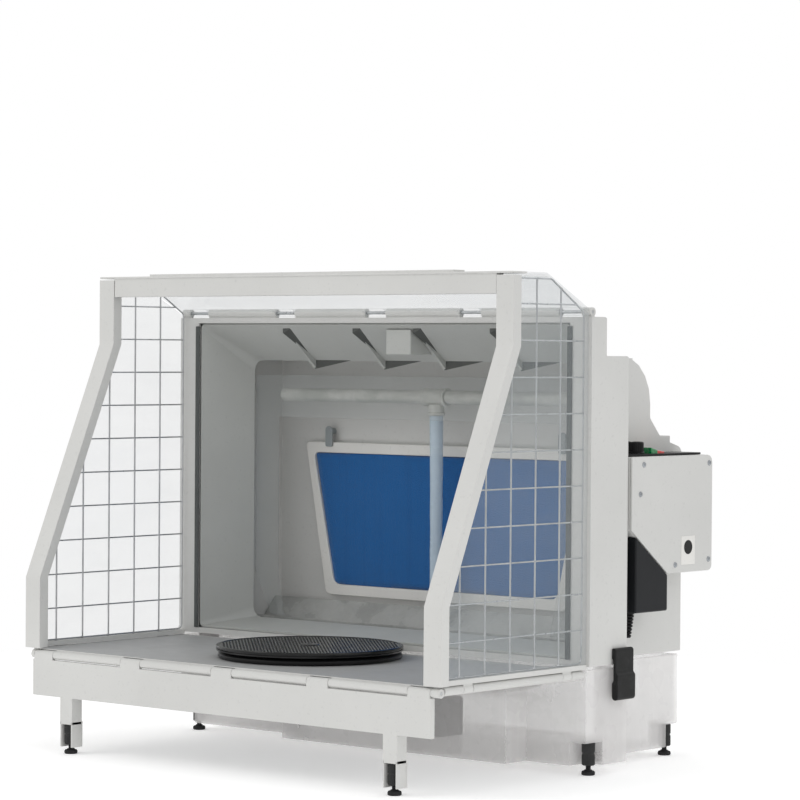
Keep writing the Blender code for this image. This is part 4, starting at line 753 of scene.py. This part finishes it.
def makeGrid(side, word):
    low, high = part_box(f"side_mesh_{word}")
    x = side * (halfWidth - grid["inner"] + grid["wire"])
    front, back, base, top = low.y, high.y - grid["wire"], low.z + grid["wire"], high.z - grid["wire"]
    near = front + grid["wire"]
    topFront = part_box("roof_bar")[0].y + 0.0145
    flat = topFront + 0.056
    slope = (top - (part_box("roof_sheet")[0].z + 0.004)) / (back - flat)

    def frontAt(z):
        # the front wire runs straight, then leans back between the post's two bends
        share = min(max((z - grid["bendLow"]) / (grid["bendHigh"] - grid["bendLow"]), 0), 1)
        return near + share * (topFront - near)

    def topAt(y):
        # the top wire is level over the front, then falls with the roof
        return top - max(y - flat, 0) * slope

    corners = [(back, base), (back, topAt(back)), (flat, top), (frontAt(top), top),
               (frontAt(grid["bendHigh"]), grid["bendHigh"]), (near, grid["bendLow"]), (near, base)]
    border = fillet([(x, *corner) for corner in corners + corners[:2]], 0.006, 5)[1:-1]
    # the rounded line starts after its first corner, so its ends meet and the wire is a loop
    shapes = [carried(border, grid["wire"], 10, closed=True)]
    y = back - grid["pitchY"] * 0.95
    while y > near + 0.010:
        reach = topAt(y)
        if y < frontAt(top):
            reach = grid["bendLow"] + (y - near) / (topFront - near) * (grid["bendHigh"] - grid["bendLow"])
        shapes.append(carried([(x - side * 0.0006, y, base), (x - side * 0.0006, y, reach)], grid["wire"],
                10))
        shapes.extend(turned([(0.0, -0.0011), (0.0015, -0.0006), (0.0015, 0.0006), (0.0, 0.0011)],
                             (x, y, z), (1, 0, 0), 8) for z in (base, reach))
        y -= grid["pitchY"]
    z = base + grid["pitchZ"] * 0.93
    while z < top - 0.010:
        end = back if z < topAt(back) else flat + (top - z) / slope
        shapes.append(carried([(x + side * 0.0006, frontAt(z), z), (x + side * 0.0006, end, z)],
                              grid["wire"] * 0.9, 10))
        z += grid["pitchZ"]
    makePiece(f"wire_grid_{word}", shapes, "steel", bodyOf(f"side_mesh_{word}"),
              [f"side_mesh_{word}"])


makeGrid(-1, "left")
makeGrid(1, "right")
print("wire grids ready")


# levelling feet
foot = {"wheel": 0.0068, "ribs": 26, "ribDepth": 0.00042, "stud": 0.0028, "thread": 0.00032,
        "threadPitch": 0.0015}


def makeFoot(name):
    low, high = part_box(f"thumbwheel_{name}")
    x, y = (low.x + high.x) / 2, (low.y + high.y) / 2
    r, base, top, bore = foot["wheel"], low.z, high.z, foot["stud"] + 0.0003
    rise = top - base
    profile = [(bore, 0.0), (r - 0.0010, 0.0), (r - 0.0003, 0.0004), (r, 0.0012), (r, rise * 0.46),
            (r - 0.0007, rise * 0.5),
               (r - 0.0007, rise * 0.54), (r, rise * 0.58), (r, rise - 0.0012), (r - 0.0003, rise - 0.0004),
               (r - 0.0010, rise), (bore, rise)]
    # shallow upright ribs round the grip: the radius dips where the cosine is low
    ribs = lambda a, radius, h: -foot["ribDepth"] * (radius > r - 0.0004) * (np.cos(foot["ribs"] * a) < 0.1)
    wheel = turned(profile, (x, y, base), (0, 0, 1), 156, ribs, ends="loop")
    body = bodyOf(f"thumbwheel_{name}")
    makePiece(f"knurled_wheel_{name}", [wheel], "knurl", body,
            [f"thumbwheel_{name}"])
    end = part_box(f"foot_{name}")[1].z
    levels = np.arange(0.0058, end - 0.001, foot["threadPitch"] / 4)
    thread = [(foot["stud"] - foot["thread"] * (index % 4 in (1, 2)), z) for index, z in enumerate(levels)]
    pad = [(0.0, 0.0), (0.0060, 0.0), (0.0067, 0.0004), (0.0070, 0.0012), (0.0070, 0.0028), (0.0064, 0.0042),
           (0.0045, 0.0047), (0.0038, 0.0056)]
    shape = turned(pad + thread + [(foot["stud"] - 0.0004, end - 0.0004), (0.0018, end), (0.0, end)],
                   (x, y, 0), (0, 0, 1), 40)
    makePiece(f"round_foot_{name}", [shape], "rubber", bodyOf(f"foot_{name}"),
            [f"foot_{name}"])


for footName in ("leg_left", "leg_right", "front_left", "front_right", "back_left", "back_right"):
    makeFoot(footName)
print("feet ready")


# filter pad and its frame
pad = {"bulge": 0.0022, "crown": 0.004}


def makePad():
    low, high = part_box("filter_pad")
    topHalf, baseHalf = high.x, high.x - 0.0300
    rows, columns = 40, 90
    up, over = np.meshgrid(np.linspace(0, 1, rows), np.linspace(-1, 1, columns), indexing="ij")
    half = baseHalf + (topHalf - baseHalf) * up
    edge = np.minimum(np.minimum(1 - np.abs(over), 1 - np.abs(2 * up - 1)) * 22, 1)
    # the front face stands proud in the middle and rounds back at the frame, with slow shallow hollows
    proud = np.sqrt(np.clip(1 - (1 - edge) ** 2, 0, 1)) * pad["bulge"]
    hollow = 0.0005 * np.sin(over * 7 + 2 * up) * np.sin(up * 9 + over * 2)
    front = np.stack([over * half, low.y + pad["bulge"] * 0.6 - proud - hollow * edge,
                      low.z + up * (high.z - low.z)], -1)
    back = front.copy()
    back[..., 1] = high.y - 0.0004
    points = np.vstack([front.reshape(-1, 3), back.reshape(-1, 3)])
    i, j = np.meshgrid(np.arange(rows - 1), np.arange(columns - 1), indexing="ij")
    one = np.stack([i * columns + j, i * columns + j + 1, (i + 1) * columns + j + 1, (i + 1) * columns + j],
            -1)
    one = one.reshape(-1, 4)
    count = rows * columns
    rim = ([j for j in range(columns)] + [r * columns + columns - 1 for r in range(1, rows)]
           + [(rows - 1) * columns + j for j in range(columns - 2, -1,
                   -1)] + [r * columns for r in range(rows - 2, 0, -1)])
    faces = one.tolist() + (one[:, ::-1] + count).tolist()
    faces += [[a, a + count, b + count, b] for a, b in zip(rim, rim[1:] + rim[:1])]
    piece = makePiece("foam_pad", [outward(points, faces)], "foam", bodyOf("filter_pad"),
                      ["filter_pad"], 60)


makePad()
print("foam pad ready")


# spray pipe, tee and feed hose
water = {"radius": 0.0075, "seam": 0.1045}


def makePipe():
    low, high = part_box("spray_pipe")
    y, z, r = (low.y + high.y) / 2, (low.z + high.z) / 2, water["radius"]
    seam = water["seam"]
    run = high.x - low.x
    place = np.concatenate([np.linspace(0.0012, run - 0.0012, 120), [seam - low.x - 0.0008, seam - low.x,
                                                                     seam - low.x + 0.0008]])
    place.sort()
    groove = 0.0006 * (np.abs(place + low.x - seam) < 0.0004)
    profile = [(0.0, 0.0), (r - 0.0012, 0.0)] + [(r - cut, h) for cut, h in zip(groove, place)]
    profile += [(r - 0.0012, run), (0.0, run)]
    # dried deposit roughens the round in fine ripples
    ripples = lambda a, h: 0.5 + 0.5 * np.sin(h * 900 + 5 * np.sin(a * 3 + h * 140))
    crust = lambda a, radius, h: -0.0003 * (radius > r - 0.001) * ripples(a, h)
    pipe = turned(profile, (low.x, y, z), (1, 0, 0), 40, crust)
    makePiece("chalky_pipe", [pipe], "pipe", bodyOf("spray_pipe"), ["spray_pipe"], 60)
    low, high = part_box("pipe_tee")
    x, outer = (low.x + high.x) / 2, (high.y - low.y) / 2
    inner = r + 0.0003
    half = (high.x - low.x) / 2
    sleeve = turned([(inner, -half), (outer - 0.0005, -half), (outer, -half + 0.0006), (outer,
            -half + 0.0032),
                     (outer - 0.0009, -half + 0.0040), (outer - 0.0009, half - 0.0040), (outer,
                             half - 0.0032),
                     (outer, half - 0.0006), (outer - 0.0005, half), (inner, half)], (x, y, z), (1, 0,
                             0), 48, ends="loop")
    stem = turned([(0.0, 0.0), (0.0090, 0.0), (0.0096, 0.0006), (0.0096, 0.0030), (0.0085, 0.0038),
                   (0.0085, z - low.z - 0.0080), (0.0, z - low.z - 0.0080)], (x, y, low.z), (0, 0, 1), 40)
    makePiece("pipe_fitting", [sleeve, stem], "pipe", bodyOf("pipe_tee"), ["pipe_tee"],
            50)


def makeFeed():
    low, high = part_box("feed_hose")
    x, y = (low.x + high.x) / 2, (low.y + high.y) / 2
    t = np.linspace(0, 1, 60)
    path = np.stack([x + 0.0006 * np.sin(t * 3), y + 0.0004 * np.sin(t * 5), high.z - t * (high.z - low.z)],
            -1)
    # full round at the tee, a little narrower and slightly uneven further down
    radius = 0.0074 - 0.0014 * t + 0.00012 * np.sin(t * 40)
    makePiece("feed_tube", [carried(path, radius, 28)], "bluish", bodyOf("feed_hose"),
              ["feed_hose"], 60)


makePipe()
makeFeed()
print("pipe ready")


# knob, screws, mark and strain relief
knob = {"ribs": 28, "ribDepth": 0.0005}
screws = [(0.0915, 0.3143), (0.2085, 0.3138), (0.0858, 0.2840), (0.1480, 0.2085), (0.2080, 0.2120)]


def makeKnob():
    low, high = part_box("speed_knob")
    x, y, r, tall = (low.x + high.x) / 2, (low.y + high.y) / 2, (high.x - low.x) / 2, high.z - low.z
    profile = [(0.0, 0.0), (r, 0.0), (r, 0.0010), (r - 0.0008, 0.0016), (r - 0.0009, tall - 0.0016),
               (r - 0.0014, tall - 0.0005), (r - 0.0024, tall), (r - 0.0040, tall - 0.0003), (0.0,
                       tall - 0.0004)]
    grip = lambda h: (h > 0.0014) & (h < tall - 0.0008)
    ribs = lambda a, radius, h: -knob["ribDepth"] * grip(h) * (np.cos(knob["ribs"] * a) < 0)
    body = turned(profile, (x, y, low.z), (0, 0, 1), 168, ribs)
    pointer = block((x - 0.0005, y - r + 0.0016, high.z - 0.0004), (x + 0.0005, y - r + 0.0060,
            high.z + 0.0002), 0.0002)
    makePiece("ribbed_knob", [body], "black", bodyOf("speed_knob"), ["speed_knob"], 30)
    makePiece("knob_pointer", [pointer], "white", bodyOf("speed_knob"))


def makeScrews():
    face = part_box("control_cover")[1].x
    shapes = []
    for index, (y, z) in enumerate(screws):
        place = (face - 0.0002, y + rimY - 0.0005, z)
        head = turned([(0.0, 0.0), (0.0030, 0.0), (0.0029, 0.0006), (0.0024, 0.0012), (0.0014, 0.0016),
                (0.0, 0.0017)],
                      place, (1, 0,
                              0), 28, lambda a, r, h: -0.0009 * (h > 0.0008) * (np.abs(np.sin(a)) < 0.22))
        shapes.append(head)
    makePiece("cover_screws", shapes, "screw", bodyOf("control_cover"))
    low, high = face, face + 0.0003
    plate = block((low, 0.1580 + rimY, 0.2080), (high, 0.1825 + rimY, 0.2380), 0.00012)
    makePiece("plain_mark", [plate], "white", bodyOf("control_cover"))
    disc = turned([(0.0, 0.0), (0.0074, 0.0), (0.0074, 0.0002), (0.0, 0.0002)],
                  (high - 0.00005, 0.1702 + rimY, 0.2262), (1, 0, 0), 48)
    makePiece("plain_dot", [disc], "dot", bodyOf("control_cover"))


def makeStrainRelief():
    low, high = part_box("strain_relief")
    x, y, tall = (low.x + high.x) / 2, (low.y + high.y) / 2, high.z - low.z
    profile = [(0.0, 0.0), (0.0024, 0.0)]
    # rings shrink downwards, parted by narrow waists
    for index in range(7):
        share = index / 7
        r = 0.0028 + 0.0032 * share
        z = tall * (0.03 + 0.92 * share)
        profile += [(r, z), (r + 0.0004, z + 0.0004), (r + 0.0004, z + 0.0019), (r, z + 0.0022),
                (r - 0.0010, z + 0.0025)]
    profile += [(0.0064, tall - 0.0014), (0.0066, tall), (0.0, tall)]
    makePiece("ribbed_relief", [turned(profile, (x, y, low.z), (0, 0, 1), 36)], "black",
            bodyOf("strain_relief"),
              ["strain_relief"], 40)


makeKnob()
makeScrews()
makeStrainRelief()
print("small parts ready")


# hinge pins and the front rim's dark strips, painted as the shade in its recessed groove
fins = {"places": (-0.1405, -0.0385, 0.0470, 0.1515), "front": 0.0080, "back": 0.0612, "ceiling": 0.4588,
        "mouth": 0.4200, "wide": 0.021, "hang": 0.010, "shadowWide": 0.058, "shadowTall": 0.0105}


def makePaintedShadeFins():
    # each fin is a wedge, wide at the front, painted dark all over as the shade of its sloping side away from
    # the light
    front, back = fins["front"] + rimY, fins["back"] + rimY
    shapes = []
    for place in fins["places"]:
        wide = min(fins["wide"], 0.2600 - place)
        ahead = [(place, front, fins["ceiling"]), (place + wide, front, fins["ceiling"]),
                 (place, front, fins["ceiling"] - fins["hang"])]
        behind = [(place, back, fins["mouth"]), (place + 0.0006, back, fins["mouth"]),
                  (place, back, fins["mouth"] - 0.0006)]
        shapes.append(closedForm(np.array([ahead, behind])))
        # a thin dark triangle on the ledge under the mouth, painted as the shadow cast by the fin and ceiling
        reach = min(place + fins["shadowWide"], 0.2300)
        paintedShadowTriangle = [[(place, y, fins["mouth"]), (reach, y, fins["mouth"]), (place, y,
                fins["mouth"] - fins["shadowTall"])]
               for y in (back - 0.0006, back + 0.0004)]
        shapes.append(closedForm(np.array(paintedShadowTriangle)))
    makePiece("shaded_fins", shapes, "shade", "cabinet")


def makeCheeks():
    # the ends of the two legs reach down on both sides of their thumbwheels
    low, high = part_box("leg_panel")
    shapes = []
    for name in ("leg_left", "leg_right"):
        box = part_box(f"thumbwheel_{name}")
        x = (box[0].x + box[1].x) / 2
        for side in (-1, 1):
            near, far = sorted((x + side * 0.0073, x + side * 0.0090))
            shapes.append(block((near, low.y, 0.0072), (far, low.y + 0.0144, 0.0345), 0.0006))
        shapes.append(block((x - 0.0090, low.y + 0.0144, 0.0072), (x + 0.0090, low.y + 0.0160, 0.0345),
                0.0006))
    makePiece("leg_cheeks", shapes, "shell", bodyOf("leg_panel"))


def makePins():
    for node, direction in (("leg_hinge_pin", 0), ("roof_hinge_pin", 0), ("side_hinge_pin_left", 1),
                            ("side_hinge_pin_right", 1)):
        low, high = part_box(node)
        middle = (np.array(low) + np.array(high)) / 2
        start, end = middle.copy(), middle.copy()
        start[direction], end[direction] = low[direction], high[direction]
        radius = (high[2] - low[2]) / 2
        makePiece(node + "_rod", [carried([start, end], radius, 20)], "steel", bodyOf(node),
                [node])


def makeRecessShade():
    # dark strips just inside the rim, at both sides of the opening, painted as the shade in the rim's
    # recessed groove
    shapes = []
    for side in (-1, 1):
        x = side * (halfWidth - 0.0275)
        shapes.append(block((x - 0.0030, rimY - 0.0012, 0.1180), (x + 0.0030, rimY + 0.0004, 0.4560), 0.0006))
    makePiece("rim_recess_shade", shapes, "recessShade", "cabinet")


makePins()
makeRecessShade()
makePaintedShadeFins()
makeCheeks()


# every other CAD node, its edges eased
plain = [
    ("cabinet_shell", "shell", 0.0012), ("rear_housing", "shell", 0.0030), ("intake_funnel", "funnel",
            0.0008),
    ("funnel_light", "funnel", 0.0010), ("control_box", "shell", 0.0008), ("control_cover", "shell", 0.0007),
    ("floor_panel", "floor", 0.0004), ("leg_panel", "shell", 0.0006), ("side_post_left", "frame", 0.0008),
    ("side_post_right", "frame", 0.0008), ("roof_bar", "frame", 0.0012), ("roof_sheet", "clear", 0.0),
    ("side_sheet_left", "clear", 0.0003), ("side_sheet_right", "clear", 0.0003), ("splash_guard", "guard",
            0.0003),
    ("filter_frame", "white", 0.0008), ("gutter_tray", "wet", 0.0006), ("switch_plate", "black", 0.0005),
    ("power_adapter", "adapter", 0.0014), ("water_tank", "milky", 0.0010), ("outlet_spigot", "shell", 0.0005),
    ("blower_housing", "shell", 0.0008), ("fan_motor", "steel", 0.0006), ("fan_impeller", "black", 0.0003),
    ("water_pump", "black", 0.0008), ("turntable_base", "black", 0.0006), ("rocker_switch", "rocker", 0.0006),
    ("filter_clip_left", "clip", 0.0006), ("filter_clip_right", "clip", 0.0006),
    ("tank_latch_left", "grained", 0.0010), ("tank_latch_right", "grained", 0.0010),
]
for plainNode, plainFinish, plainWidth in plain:
    easedPiece = softened(plainNode, plainFinish, plainWidth)
    if plainNode == "floor_panel":
        # the floor's hinge tubes are as light as the shell
        easedPiece.data.materials.append(finishes["shell"])
        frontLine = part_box("floor_panel")[0].y + 0.0095
        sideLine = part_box("floor_panel")[1].x - 0.0090
        for face in easedPiece.data.polygons:
            if face.center.y < frontLine or abs(face.center.x) > sideLine:
                face.material_index = 1
left = [name for name, node in frame["nodes"].items() if not node.hide_render]
print("pieces eased:", len(plain), "still plain:", left)
